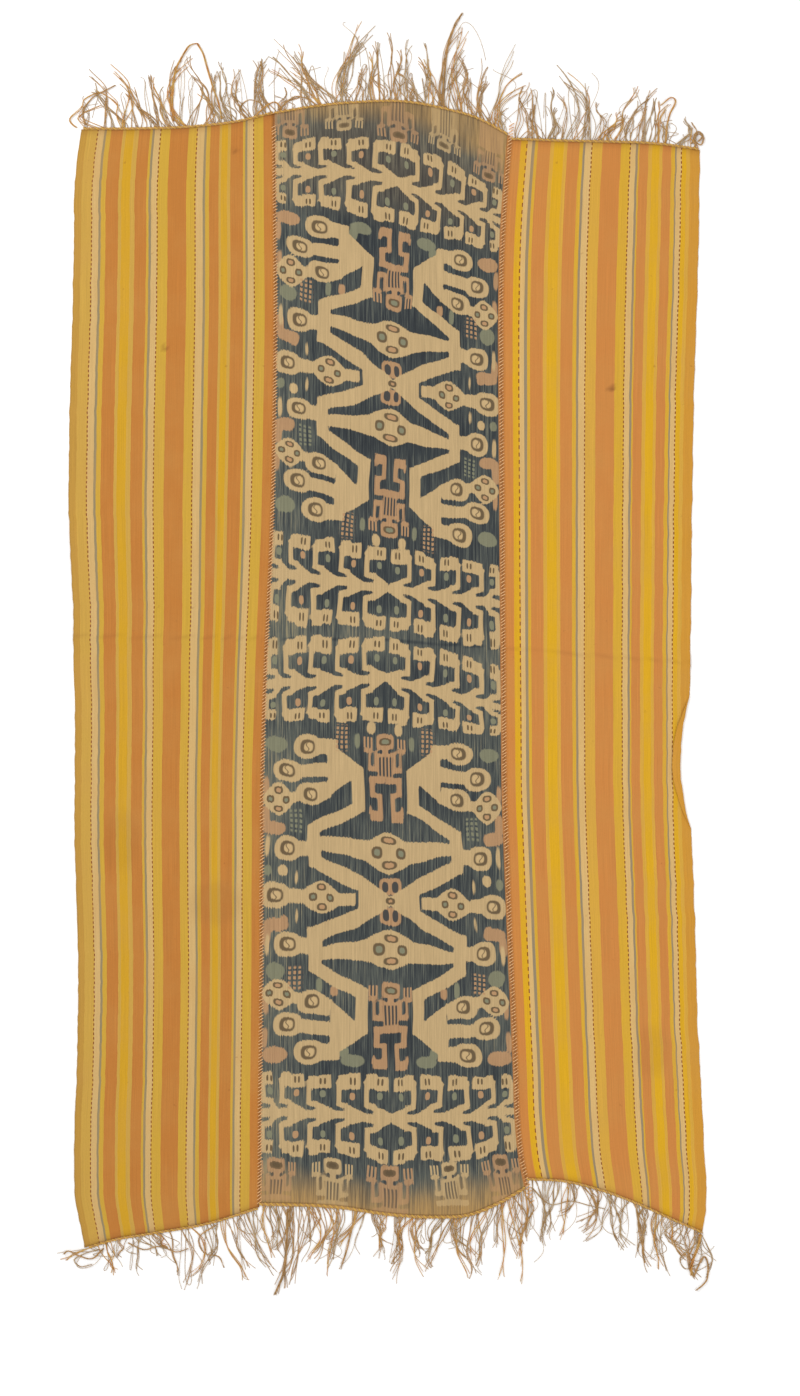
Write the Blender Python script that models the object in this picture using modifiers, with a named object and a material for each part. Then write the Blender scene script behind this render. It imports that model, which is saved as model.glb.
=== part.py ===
"""Man's wrap cloth of three hand-woven cotton panels, laid out flat on a surface.

Two striped side panels are sewn to a middle panel patterned in warp ikat. Each end of
each panel is closed by a twined edge, and the warp ends run on from it as a loose
fringe, gathered here and there into locks. The right selvedge is turned over for a
hand's breadth, and one crosswise crease is left from storing the cloth folded.

Tables and sizes are in millimetres, measured on the cloth: across its width (to the
right) and along its length (upwards). The model is in metres, +Z up, with its origin
in the middle of the cloth's box, on the surface that it lies on.
"""

import math
from collections import namedtuple
from functools import lru_cache

import bmesh
import bpy
import numpy as np
from mathutils import Vector

COLLECTION_NAME = "ikat_wrap_cloth"
MM = 0.001

# Where the middle of the finished cloth's box lies in the tables' own measure
MIDDLE_ACROSS = -2.0
MIDDLE_ALONG = 1.3

# Sheet and gaps
CLOTH_THICKNESS = 1.5
PIECE_GAP = 0.3
PANEL_COLUMNS = 7

# Rows that the three panels share, so that their seams run side by side
LOWEST_SHARED_ROW = -880.0
CREASE_ROWS = (-40.0, 60.0)
HIGHEST_SHARED_ROW = 870.0
ROWS_BELOW_CREASE = 12
ROWS_AT_CREASE = 6
ROWS_ABOVE_CREASE = 11
BOTTOM_END_ROWS = 3
TOP_END_ROWS = 2
BEYOND_THE_ENDS = 100.0
END_SETTLING_STEPS = 6

# Rows past the shared ones: seams run straight there, selvedges keep their curve
SEAM_END_ROWS = ((-965.0,), (935.0,))
SELVEDGE_END_ROWS = (
    (-1060.0, -1040.0, -1020.0, -1000.0, -980.0, -950.0, -920.0),
    (890.0, 905.0, 920.0, 935.0),
)

# Crosswise crease: its line across the cloth, half its width and its height
CREASE_ACROSS = (-550.0, 0.0, 540.0)
CREASE_ALONG = (34.0, 27.0, -14.0)
CREASE_HALF_WIDTH = 30.0
CREASE_HEIGHT = 2.2

# Right selvedge turned over: the stretch it covers, its depth and the bend's radius
TURN_MIDDLE = -190.0
TURN_HALF_LENGTH = 128.0
TURN_DEPTH = 19.5
TURN_RADIUS = 2.2
TURN_COLUMNS = 8
TURN_ROWS = 15
ROW_SPACE = 1.0

# Twined edge, from which the fringe strands start
EDGE_WIDTH = 7.0
EDGE_HEIGHT = 1.7
OUTWARD_FACING = 0.7

# Fringe strands: sizes at the root and at the tip
STRAND_ROOT_WIDTH = 4.0
STRAND_TIP_WIDTH = 1.8
STRAND_TIP_HEIGHT = 1.0
STRAND_TOP_SHARE = 0.6
STRAND_SPACE = 0.9
LOCK_PITCH = 3.9
LOCK_GATHERED_AT = 0.4
LONG_REACH = 60.0
LONG_SECTIONS = 4
SHORT_SECTIONS = 3
TIP_UNEVENNESS = 0.16

Outline = namedtuple("Outline", "along left_selvedge left_seam right_seam right_selvedge")
OUTLINE = (
    Outline(-1030, -537, -224, 268, 559),
    Outline(-965, -549, -224, 252, 567),
    Outline(-895, -552, -223, 236, 564),
    Outline(-820, -550, -223, 228, 560),
    Outline(-735, -547, -222, 225, 556),
    Outline(-640, -545, -221, 221, 551),
    Outline(-530, -545, -220, 216, 548),
    Outline(-430, -548, -220, 212, 545),
    Outline(-330, -551, -219, 208, 541),
    Outline(-240, -551, -219, 205, 539),
    Outline(-120, -550, -216, 204, 538),
    Outline(-30, -552, -213, 203, 538),
    Outline(100, -554, -207, 202, 540),
    Outline(240, -561, -201, 201, 541),
    Outline(370, -561, -198, 200, 543),
    Outline(500, -558, -196, 199, 546),
    Outline(620, -554, -195, 199, 550),
    Outline(740, -552, -196, 202, 553),
    Outline(858, -549, -197, 210, 555),
    Outline(935, -538, -198, 217, 557),
)

EndPoint = namedtuple("EndPoint", "across along")
TOP_ENDS = {
    "left": (
        EndPoint(-534, 935), EndPoint(-453, 935), EndPoint(-329, 940),
        EndPoint(-258, 949), EndPoint(-202, 963),
    ),
    "centre": (
        EndPoint(-196, 963), EndPoint(-131, 974), EndPoint(-50, 982), EndPoint(32, 983),
        EndPoint(106, 970), EndPoint(166, 952), EndPoint(214, 926),
    ),
    "right": (
        EndPoint(223, 917), EndPoint(308, 914), EndPoint(391, 912), EndPoint(485, 908),
        EndPoint(552, 899),
    ),
}
BOTTOM_ENDS = {
    "left": (
        EndPoint(-524, -1051), EndPoint(-483, -1039), EndPoint(-414, -1027),
        EndPoint(-313, -1009), EndPoint(-228, -983),
    ),
    "centre": (
        EndPoint(-223, -975), EndPoint(-90, -980), EndPoint(12, -994), EndPoint(87, -998),
        EndPoint(147, -994), EndPoint(200, -973), EndPoint(245, -947),
    ),
    "right": (
        EndPoint(250, -931), EndPoint(317, -935), EndPoint(382, -951), EndPoint(442, -973),
        EndPoint(511, -1004), EndPoint(559, -1025),
    ),
}

# Soft rises of the lying cloth, each an oval that fades out to the flat
Swell = namedtuple("Swell", "across along half_across half_along height")
SWELLS = (
    Swell(-520, 170, 120, 230, 3.0),
    Swell(-400, -520, 110, 270, 2.4),
    Swell(-310, 600, 110, 230, 2.0),
    Swell(10, -440, 130, 190, 2.4),
    Swell(-40, 330, 130, 200, 2.0),
    Swell(390, 400, 110, 260, 2.6),
    Swell(420, -590, 120, 210, 3.0),
)

# One row for each lock of fringe: where it starts on the edge, how wide its roots are,
# how far it reaches out, how far its tip leans and its middle bows sideways
Lock = namedtuple("Lock", "root spread reach lean bow strands")
LOCKS = {
    "top_left": (
        Lock(-520, 26, 67, 12, -24, 2),
        Lock(-478, 34, 102, -34, 9, 4),
        Lock(-430, 40, 117, -25, 6, 4),
        Lock(-387, 18, 108, -28, 3, 2),
        Lock(-363, 18, 133, 11, -20, 3),
        Lock(-322, 40, 127, -13, 14, 4),
        Lock(-285, 26, 95, -7, -10, 3),
        Lock(-255, 24, 108, -20, -10, 3),
        Lock(-217, 26, 118, -12, -8, 4),
    ),
    "top_centre": (
        Lock(-177, 18, 48, 9, -5, 2),
        Lock(-131, 18, 124, -74, 9, 3),
        Lock(-104, 24, 106, -54, -2, 4),
        Lock(-78, 16, 154, 40, -12, 4),
        Lock(-52, 16, 68, 10, 0, 2),
        Lock(-18, 24, 116, -9, 0, 4),
        Lock(12, 16, 122, 2, 1, 3),
        Lock(33, 10, 115, 8, -2, 2),
        Lock(55, 16, 48, -10, 0, 3),
        Lock(79, 18, 110, -12, 6, 3),
        Lock(114, 26, 171, 26, -17, 5),
        Lock(148, 22, 104, -12, 0, 3),
        Lock(172, 16, 110, 8, -14, 3),
        Lock(191, 14, 140, 50, -14, 3),
        Lock(206, 9, 45, 4, 0, 2),
    ),
    "top_right": (
        Lock(245, 22, 101, 0, 4, 3),
        Lock(274, 14, 100, -14, -3, 2),
        Lock(298, 20, 100, 2, 4, 3),
        Lock(338, 20, 139, -24, 22, 3),
        Lock(366, 12, 104, -4, 8, 2),
        Lock(387, 18, 52, 34, -6, 3),
        Lock(424, 22, 97, 34, -4, 4),
        Lock(464, 22, 107, 14, -2, 4),
        Lock(490, 14, 76, 18, -6, 2),
        Lock(530, 30, 50, 6, 8, 4),
    ),
    "bottom_left": (
        Lock(-517, 6, 26, -56, 2, 1),
        Lock(-500, 18, 60, 18, -2, 3),
        Lock(-466, 20, 34, -12, 0, 2),
        Lock(-444, 12, 72, 4, -4, 2),
        Lock(-420, 28, 38, 28, -2, 3),
        Lock(-388, 12, 84, 22, -4, 2),
        Lock(-350, 26, 122, 2, 12, 4),
        Lock(-310, 18, 122, -14, 12, 3),
        Lock(-275, 28, 130, 40, -4, 4),
        Lock(-240, 18, 112, 36, -10, 3),
    ),
    "bottom_centre": (
        Lock(-208, 14, 100, 10, 0, 3),
        Lock(-168, 36, 163, -14, 8, 6),
        Lock(-121, 30, 114, -12, 14, 4),
        Lock(-86, 12, 126, -16, 0, 2),
        Lock(-50, 20, 122, -36, 6, 3),
        Lock(-12, 18, 88, 2, -5, 3),
        Lock(32, 20, 126, -14, -2, 4),
        Lock(62, 20, 112, 0, -6, 3),
        Lock(104, 18, 102, -24, -4, 3),
        Lock(132, 18, 116, 6, -10, 3),
        Lock(172, 28, 122, -12, -5, 4),
        Lock(206, 12, 136, -3, -6, 2),
        Lock(230, 18, 160, 9, -2, 4),
    ),
    "bottom_right": (
        Lock(260, 12, 112, -2, 3, 2),
        Lock(296, 20, 123, -20, -2, 3),
        Lock(327, 10, 104, -20, 14, 2),
        Lock(366, 32, 104, -20, 20, 4),
        Lock(412, 22, 104, 14, -6, 3),
        Lock(446, 12, 122, -2, 4, 3),
        Lock(478, 24, 112, 8, -12, 4),
        Lock(512, 22, 82, 12, -12, 3),
        Lock(539, 14, 105, 14, -8, 3),
        Lock(554, 5, 88, 11, 8, 1),
    ),
}

Finish = namedtuple("Finish", "name colour roughness")
STRIPED_COTTON = Finish("striped_cotton", (0.62, 0.33, 0.07), 0.9)
IKAT_COTTON = Finish("ikat_cotton", (0.10, 0.15, 0.20), 0.9)
FRINGE_YARN = Finish("fringe_yarn", (0.39, 0.19, 0.08), 0.85)

Panel = namedtuple("Panel", "side left_line right_line finish")
PANELS = (
    Panel("left", "left_selvedge", "left_seam", STRIPED_COTTON),
    Panel("centre", "left_seam", "right_seam", IKAT_COTTON),
    Panel("right", "right_seam", "right_selvedge", STRIPED_COTTON),
)


def at(across, along, height=0.0):
    """A point of the model, from millimetres measured on the cloth."""
    return Vector((across - MIDDLE_ACROSS, along - MIDDLE_ALONG, height)) * MM


def smooth_step(share):
    """Ease from 0 to 1 as share goes from 0 to 1."""
    held = min(max(share, 0.0), 1.0)
    return held * held * (3.0 - 2.0 * held)


def smooth_value(places, values, place):
    """A smooth curve through a table's points, run on straight past its ends."""
    slopes = np.gradient(values, places)
    held = min(max(place, places[0]), places[-1])
    first = min(max(int(np.searchsorted(places, held)) - 1, 0), len(places) - 2)
    length = places[first + 1] - places[first]
    share = (held - places[first]) / length
    ease = smooth_step(share)
    leaving = slopes[first] * length * share * (1.0 - share) ** 2
    arriving = slopes[first + 1] * length * (1.0 - share) * share ** 2
    curve = values[first] * (1.0 - ease) + values[first + 1] * ease + leaving - arriving
    end_slope = slopes[0] if place < held else slopes[-1]
    return curve + (place - held) * end_slope


def shared_rows():
    """Rows that all three panels have, closer together at the crease."""
    crease_low, crease_high = CREASE_ROWS
    below = np.linspace(LOWEST_SHARED_ROW, 2 * crease_low, ROWS_BELOW_CREASE)
    crease = np.linspace(crease_low, crease_high, ROWS_AT_CREASE)
    above = np.linspace(2 * crease_high, HIGHEST_SHARED_ROW, ROWS_ABOVE_CREASE)
    return np.concatenate((below, crease, above))


@lru_cache
def side_line(column):
    """A selvedge or seam as straight runs between rows, carried on straight past its ends."""
    places = [row.along for row in OUTLINE]
    values = [getattr(row, column) for row in OUTLINE]
    below, above = SELVEDGE_END_ROWS if column.endswith("selvedge") else SEAM_END_ROWS
    rows = np.concatenate((below, shared_rows(), above))
    line = np.array([smooth_value(places, values, row) for row in rows])
    first_slope = (line[1] - line[0]) / (rows[1] - rows[0])
    last_slope = (line[-1] - line[-2]) / (rows[-1] - rows[-2])
    rows = np.concatenate(([rows[0] - BEYOND_THE_ENDS], rows, [rows[-1] + BEYOND_THE_ENDS]))
    first = line[0] - first_slope * BEYOND_THE_ENDS
    last = line[-1] + last_slope * BEYOND_THE_ENDS
    return rows, np.concatenate(([first], line, [last]))


def on_line(line, along):
    """How far across the cloth a side line lies at a place along it."""
    rows, values = line
    return float(np.interp(along, rows, values))


def panel_sides(panel, along):
    """Where the panel's left and right sides lie, clear of the panels beside it."""
    left_gap = PIECE_GAP / 2 if panel.left_line.endswith("seam") else 0.0
    right_gap = PIECE_GAP / 2 if panel.right_line.endswith("seam") else 0.0
    left = on_line(side_line(panel.left_line), along) + left_gap
    right = on_line(side_line(panel.right_line), along) - right_gap
    return left, right


def off_edge_columns(panel, width):
    """How far each of the panel's columns lies from its right side."""
    if panel.side != "right":
        return [width * (1.0 - column / PANEL_COLUMNS) for column in range(PANEL_COLUMNS + 1)]
    wide = [width + (TURN_DEPTH - width) * column / PANEL_COLUMNS for column in range(PANEL_COLUMNS)]
    narrow = [TURN_DEPTH * (1.0 - column / TURN_COLUMNS) for column in range(TURN_COLUMNS + 1)]
    return wide + narrow


def column_place(panel, column, along):
    """How far across the cloth one of the panel's columns lies."""
    left, right = panel_sides(panel, along)
    return right - off_edge_columns(panel, right - left)[column]


def end_knots(panel, end, outward):
    """The panel's end row, just inside its twined edge: one place for each column."""
    points = TOP_ENDS[panel.side] if end == "top" else BOTTOM_ENDS[panel.side]
    across_table = [point.across for point in points]
    along_table = [point.along for point in points]
    knots = []
    for column in range(len(off_edge_columns(panel, 1.0))):
        along = along_table[0]
        for settling in range(END_SETTLING_STEPS):
            across = column_place(panel, column, along)
            outer = smooth_value(across_table, along_table, across)
            along = outer - outward * (EDGE_WIDTH + PIECE_GAP)
        knots.append((column_place(panel, column, along), along))
    return knots


def beyond_knots(panel, knots, beyond):
    """The panel's end row moved outwards by beyond, still ending on the panel's side lines."""
    across = [place for place, along in knots]
    along = [place + beyond for column, place in knots]
    across[0] = panel_sides(panel, along[0])[0]
    across[-1] = panel_sides(panel, along[-1])[1]
    return across, along


def swell_height(across, along):
    """How far the underside of the cloth is off the surface."""
    height = 0.0
    for swell in SWELLS:
        side = (across - swell.across) / swell.half_across
        length = (along - swell.along) / swell.half_along
        height += swell.height * max(1.0 - side * side - length * length, 0.0) ** 2
    crease = np.interp(across, CREASE_ACROSS, CREASE_ALONG)
    off_crease = abs(along - crease) / CREASE_HALF_WIDTH
    return height + CREASE_HEIGHT * max(1.0 - off_crease, 0.0)


def mapped_grid(columns, rows, place):
    """A grid sheet whose points go where place puts each column and row."""
    sheet = bmesh.new()
    bmesh.ops.create_grid(sheet, x_segments=columns, y_segments=rows, size=0.5)
    for vert in sheet.verts:
        column = round((vert.co.x + 0.5) * columns)
        row = round((vert.co.y + 0.5) * rows)
        vert.co = place(column, row)
    return sheet


def turned_over(across, along, edge):
    """Where a point of the right panel goes once the panel's edge is turned over."""
    off_middle = (along - TURN_MIDDLE) / TURN_HALF_LENGTH
    bend = edge - TURN_DEPTH * max(1.0 - off_middle * off_middle, 0.0)
    if across <= bend:
        return across, along, swell_height(across, along)
    base = swell_height(bend, along)
    angle = (across - bend) / TURN_RADIUS
    if angle < math.pi:
        curl = bend + TURN_RADIUS * math.sin(angle)
        return curl, along, base + TURN_RADIUS * (1.0 - math.cos(angle))
    return 2.0 * bend + math.pi * TURN_RADIUS - across, along, base + 2.0 * TURN_RADIUS


def panel_rows(panel):
    """The panel's inner rows: the shared ones and, on the right, those of the turned edge."""
    rows = list(shared_rows())
    if panel.side == "right":
        low, high = TURN_MIDDLE - TURN_HALF_LENGTH, TURN_MIDDLE + TURN_HALF_LENGTH
        turn = np.linspace(low, high, TURN_ROWS)
        clear = [row for row in turn if min(abs(row - other) for other in rows) > ROW_SPACE]
        rows = sorted(rows + clear)
    return rows


def panel_sheet(panel):
    """The panel's underside as one grid, from its bottom end to its top end."""
    bottom = end_knots(panel, "bottom", -1.0)
    top = end_knots(panel, "top", 1.0)
    inner_rows = panel_rows(panel)
    last_row = BOTTOM_END_ROWS + len(inner_rows) - 1 + TOP_END_ROWS

    def row_place(column, row):
        """How far along the cloth a row lies in one column."""
        if row < BOTTOM_END_ROWS:
            share = row / BOTTOM_END_ROWS
            return (1.0 - share) * bottom[column][1] + share * inner_rows[0]
        if row > last_row - TOP_END_ROWS:
            share = (last_row - row) / TOP_END_ROWS
            return (1.0 - share) * top[column][1] + share * inner_rows[-1]
        return inner_rows[row - BOTTOM_END_ROWS]

    def place(column, row):
        along = row_place(column, row)
        across = column_place(panel, column, along)
        if panel.side == "right":
            edge = panel_sides(panel, along)[1]
            return at(*turned_over(across, along, edge))
        return at(across, along, swell_height(across, along))

    return mapped_grid(len(bottom) - 1, last_row, place)


def strand_points(lock, order, edge, outward):
    """The middle line of one strand, from its root on the edge to its tip."""
    sideways = (order + 0.5) / lock.strands - 0.5
    gathered = min(lock.spread, lock.strands * LOCK_PITCH)
    shortened = TIP_UNEVENNESS * ((order * 2) % lock.strands) / lock.strands
    sections = LONG_SECTIONS if lock.reach > LONG_REACH else SHORT_SECTIONS
    start = np.interp(lock.root, *edge)
    points = []
    for section in range(sections + 1):
        share = (1.0 - shortened) * section / sections
        across = lock.root + lock.lean * share + lock.bow * 4.0 * share * (1.0 - share)
        along = start + outward * lock.reach * share
        run = Vector((lock.lean + lock.bow * 4.0 * (1.0 - 2.0 * share), outward * lock.reach))
        square = Vector((abs(run.y), -run.x * outward)).normalized()
        ease = smooth_step(share / LOCK_GATHERED_AT)
        aside = Vector((1.0, 0.0)).lerp(square, ease)
        aside *= sideways * (lock.spread + (gathered - lock.spread) * ease)
        points.append(Vector((across, along)) + aside)
    points[0].y = np.interp(points[0].x, *edge)
    return points


def grow_strand(edge_mesh, root, points):
    """Grow a strand out of its root face, one section for each point after the first."""
    face = root
    for order in range(1, len(points)):
        following = points[min(order + 1, len(points) - 1)]
        run = following - points[order - 1]
        across = Vector((run.y, -run.x, 0.0)).normalized()
        share = order / (len(points) - 1)
        width = STRAND_ROOT_WIDTH + (STRAND_TIP_WIDTH - STRAND_ROOT_WIDTH) * share
        height = EDGE_HEIGHT + (STRAND_TIP_HEIGHT - EDGE_HEIGHT) * share
        face = bmesh.ops.extrude_discrete_faces(edge_mesh, faces=[face])["faces"][0]
        middle = face.calc_center_median()
        for vert in face.verts:
            side = math.copysign(0.5, (vert.co - middle).dot(across))
            raised = vert.co.z > middle.z
            aside = across * side * width * (STRAND_TOP_SHARE if raised else 1.0)
            lift = height if raised else 0.0
            vert.co = at(points[order].x + aside.x, points[order].y + aside.y, lift)


def fringe_mesh(panel, end):
    """The twined edge of one panel end, with its strands grown out of its outer side."""
    outward = 1.0 if end == "top" else -1.0
    knots = end_knots(panel, end, outward)
    inner = beyond_knots(panel, knots, outward * PIECE_GAP)
    outer = beyond_knots(panel, knots, outward * (PIECE_GAP + EDGE_WIDTH))
    roots = []
    for lock in LOCKS[f"{end}_{panel.side}"]:
        half_width = min(STRAND_ROOT_WIDTH, lock.spread / lock.strands - STRAND_SPACE) / 2
        for order in range(lock.strands):
            points = strand_points(lock, order, outer, outward)
            roots.append((points[0].x - half_width, points[0].x + half_width, points))
    sides = [place for root in roots for place in root[:2]]
    if sides != sorted(sides) or sides[0] < outer[0][0] or sides[-1] > outer[0][-1]:
        raise ValueError(f"the roots of fringe_{end}_{panel.side} run into each other")
    bends = [place for place in inner[0] if not any(low < place < high for low, high, points in roots)]
    places = sorted(sides + bends)

    def place(column, row):
        line = outer if (row == 1) == (outward > 0) else inner
        across = places[column]
        if column == 0:
            across = line[0][0]
        if column == len(places) - 1:
            across = line[0][-1]
        return at(across, float(np.interp(across, *line)))

    mesh = mapped_grid(len(places) - 1, 1, place)
    bmesh.ops.solidify(mesh, geom=mesh.faces[:], thickness=EDGE_HEIGHT * MM)
    lowest = min(vert.co.z for vert in mesh.verts)
    bmesh.ops.translate(mesh, verts=mesh.verts, vec=(0.0, 0.0, -lowest))
    bmesh.ops.recalc_face_normals(mesh, faces=mesh.faces)
    for low, high, points in roots:
        middle = at(points[0].x, points[0].y)
        sides = [face for face in mesh.faces if face.normal.y * outward > OUTWARD_FACING]
        root = min(sides, key=lambda face: (face.calc_center_median().xy - middle.xy).length)
        grow_strand(mesh, root, points)
    bmesh.ops.recalc_face_normals(mesh, faces=mesh.faces)
    return mesh


def cloth_material(finish):
    """A plain matt material of the cloth's main colour."""
    material = bpy.data.materials.get(finish.name) or bpy.data.materials.new(finish.name)
    material.use_nodes = True
    shader = material.node_tree.nodes["Principled BSDF"]
    shader.inputs["Base Color"].default_value = (*finish.colour, 1.0)
    shader.inputs["Roughness"].default_value = finish.roughness
    shader.inputs["Metallic"].default_value = 0.0
    return material


def add_object(name, mesh, finish, collection):
    """One named object from an edited mesh, with its material."""
    data = bpy.data.meshes.new(name)
    mesh.to_mesh(data)
    mesh.free()
    data.materials.append(cloth_material(finish))
    piece = bpy.data.objects.new(name, data)
    collection.objects.link(piece)
    return piece


def build_panel(panel, collection):
    """One woven panel: its underside, thickened upwards."""
    piece = add_object(f"panel_{panel.side}", panel_sheet(panel), panel.finish, collection)
    thickness = piece.modifiers.new("cloth_thickness", "SOLIDIFY")
    thickness.thickness = CLOTH_THICKNESS * MM
    thickness.offset = 1.0
    return piece


def build_fringe(panel, end, collection):
    """The twined edge and fringe at one end of one panel."""
    return add_object(f"fringe_{end}_{panel.side}", fringe_mesh(panel, end), FRINGE_YARN, collection)


def main():
    for piece in list(bpy.data.objects):
        bpy.data.objects.remove(piece)
    collection = bpy.data.collections.new(COLLECTION_NAME)
    bpy.context.scene.collection.children.link(collection)
    for panel in PANELS:
        build_panel(panel, collection)
        build_fringe(panel, "top", collection)
        build_fringe(panel, "bottom", collection)


main()
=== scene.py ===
"""Looks of a wrap cloth: three hand-woven cotton panels laid out flat.

The frame gives the solids of the cloth. Each panel is a thin sheet on its solid's form,
its warp stripes or its warp ikat in the weave's own coordinates. The ends are closed by
twined yarn and run out in a loose, tangled fringe, and the seams are overcast by hand.

Tables are in millimetres measured on the cloth: across its width (to the right) and along
its length (upwards). The ikat chart has its own unit, one chart step of 1.77 mm.
"""

import math
from collections import namedtuple

import bmesh
import bpy
import numpy as np
from bpy.props import FloatProperty, FloatVectorProperty, IntProperty, PointerProperty
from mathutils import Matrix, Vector


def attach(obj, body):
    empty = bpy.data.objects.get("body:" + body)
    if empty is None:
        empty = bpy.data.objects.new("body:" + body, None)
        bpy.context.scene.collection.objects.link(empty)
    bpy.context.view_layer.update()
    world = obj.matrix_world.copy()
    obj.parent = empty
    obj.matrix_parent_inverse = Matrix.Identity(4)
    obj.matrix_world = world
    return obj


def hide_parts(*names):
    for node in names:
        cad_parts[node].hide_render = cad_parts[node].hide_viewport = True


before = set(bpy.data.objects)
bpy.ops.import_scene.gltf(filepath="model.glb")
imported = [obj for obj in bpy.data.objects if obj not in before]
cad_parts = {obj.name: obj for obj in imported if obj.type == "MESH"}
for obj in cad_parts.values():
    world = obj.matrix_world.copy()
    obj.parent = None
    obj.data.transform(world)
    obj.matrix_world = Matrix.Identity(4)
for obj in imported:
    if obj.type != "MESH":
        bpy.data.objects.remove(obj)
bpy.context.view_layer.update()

bl_info = {
    "name": "Ikat Wrap Cloth",
    "version": (1, 0, 0),
    "blender": (4, 5, 0),
    "location": "View3D > Sidebar > Cloth",
    "description": "Weaves, sews and fringes a laid-out wrap cloth on its packed solids",
    "category": "Object",
}

BODY = "root"
MM = 0.001

# Where the middle of the finished cloth's box lies in the tables' own measure
MIDDLE_ACROSS = -2.0
MIDDLE_ALONG = 1.3
EDGE_WIDTH = 7.0
# Plain warp borders of the middle panel, beside its two seams
LEFT_BORDER = 1.6
RIGHT_BORDER = 5.6
# Rounds after which an end's line, or a weft's bend, has settled
END_SETTLING_STEPS = 8
WEFT_SETTLING_STEPS = 3
# How far a sewn side stays off the seam's line, so that two panels don't touch
SEAM_CLEARANCE = 0.15
# How far the woven sheet stops short of the twined edge's outer line
SHEET_SHORT_OF_END = EDGE_WIDTH - 2.0
# Columns that take the turned selvedge's bend, and how far inside it they start
TURN_COLUMNS = 20
TURN_RUN_IN = 4.0
# Weft rows lie this much farther apart than the warp ribs
WEFT_TO_WARP = 2.4

Outline = namedtuple("Outline", "along left_selvedge left_seam right_seam right_selvedge")
OUTLINE = (
    Outline(-1030, -537, -224, 273, 559),
    Outline(-965, -549, -224, 257, 567),
    Outline(-895, -552, -223, 241, 564),
    Outline(-820, -550, -223, 233, 560),
    Outline(-735, -547, -222, 230, 556),
    Outline(-640, -545, -221, 226, 551),
    Outline(-530, -545, -220, 221, 548),
    Outline(-430, -548, -220, 217, 545),
    Outline(-330, -551, -219, 213, 541),
    Outline(-240, -551, -219, 210, 539),
    Outline(-120, -550, -216, 209, 538),
    Outline(-30, -552, -213, 208, 538),
    Outline(100, -554, -207, 207, 540),
    Outline(240, -561, -201, 206, 541),
    Outline(370, -561, -198, 205, 543),
    Outline(500, -558, -196, 204, 546),
    Outline(620, -554, -195, 204, 550),
    Outline(740, -552, -196, 207, 553),
    Outline(858, -549, -197, 215, 555),
    Outline(935, -538, -198, 222, 557),
)
EndPoint = namedtuple("EndPoint", "across along")
ENDS = {
    "top_left": (
        EndPoint(-534, 935), EndPoint(-453, 935), EndPoint(-329, 940),
        EndPoint(-258, 949), EndPoint(-202, 963),
    ),
    "top_centre": (
        EndPoint(-196, 963), EndPoint(-131, 974), EndPoint(-50, 982), EndPoint(32, 983),
        EndPoint(106, 970), EndPoint(166, 952), EndPoint(214, 926),
    ),
    "top_right": (
        EndPoint(223, 917), EndPoint(308, 914), EndPoint(391, 912), EndPoint(485, 908),
        EndPoint(552, 899),
    ),
    "bottom_left": (
        EndPoint(-524, -1051), EndPoint(-483, -1039), EndPoint(-414, -1027),
        EndPoint(-313, -1009), EndPoint(-228, -983),
    ),
    "bottom_centre": (
        EndPoint(-223, -975), EndPoint(-90, -980), EndPoint(12, -994), EndPoint(87, -998),
        EndPoint(147, -994), EndPoint(200, -973), EndPoint(245, -947),
    ),
    "bottom_right": (
        EndPoint(250, -931), EndPoint(317, -935), EndPoint(382, -951), EndPoint(442, -973),
        EndPoint(511, -1004), EndPoint(559, -1025),
    ),
}

# Soft rises of the lying cloth and the crosswise crease left from storing it folded
Swell = namedtuple("Swell", "across along half_across half_along height")
SWELLS = (
    Swell(-520, 170, 120, 230, 3.0),
    Swell(-400, -520, 110, 270, 2.4),
    Swell(-310, 600, 110, 230, 2.0),
    Swell(10, -440, 130, 190, 2.4),
    Swell(-40, 330, 130, 200, 2.0),
    Swell(390, 400, 110, 260, 2.6),
    Swell(420, -590, 120, 210, 3.0),
)
CREASE_ACROSS = (-550.0, 0.0, 540.0)
CREASE_ALONG = (34.0, 27.0, -14.0)
CREASE_HALF_WIDTH = 30.0
CREASE_HEIGHT = 2.2

# Right selvedge turned over: the stretch it covers, its depth and the bend's radius
TURN_MIDDLE = -190.0
TURN_HALF_LENGTH = 128.0
TURN_DEPTH = 19.5
TURN_RADIUS = 2.2

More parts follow.
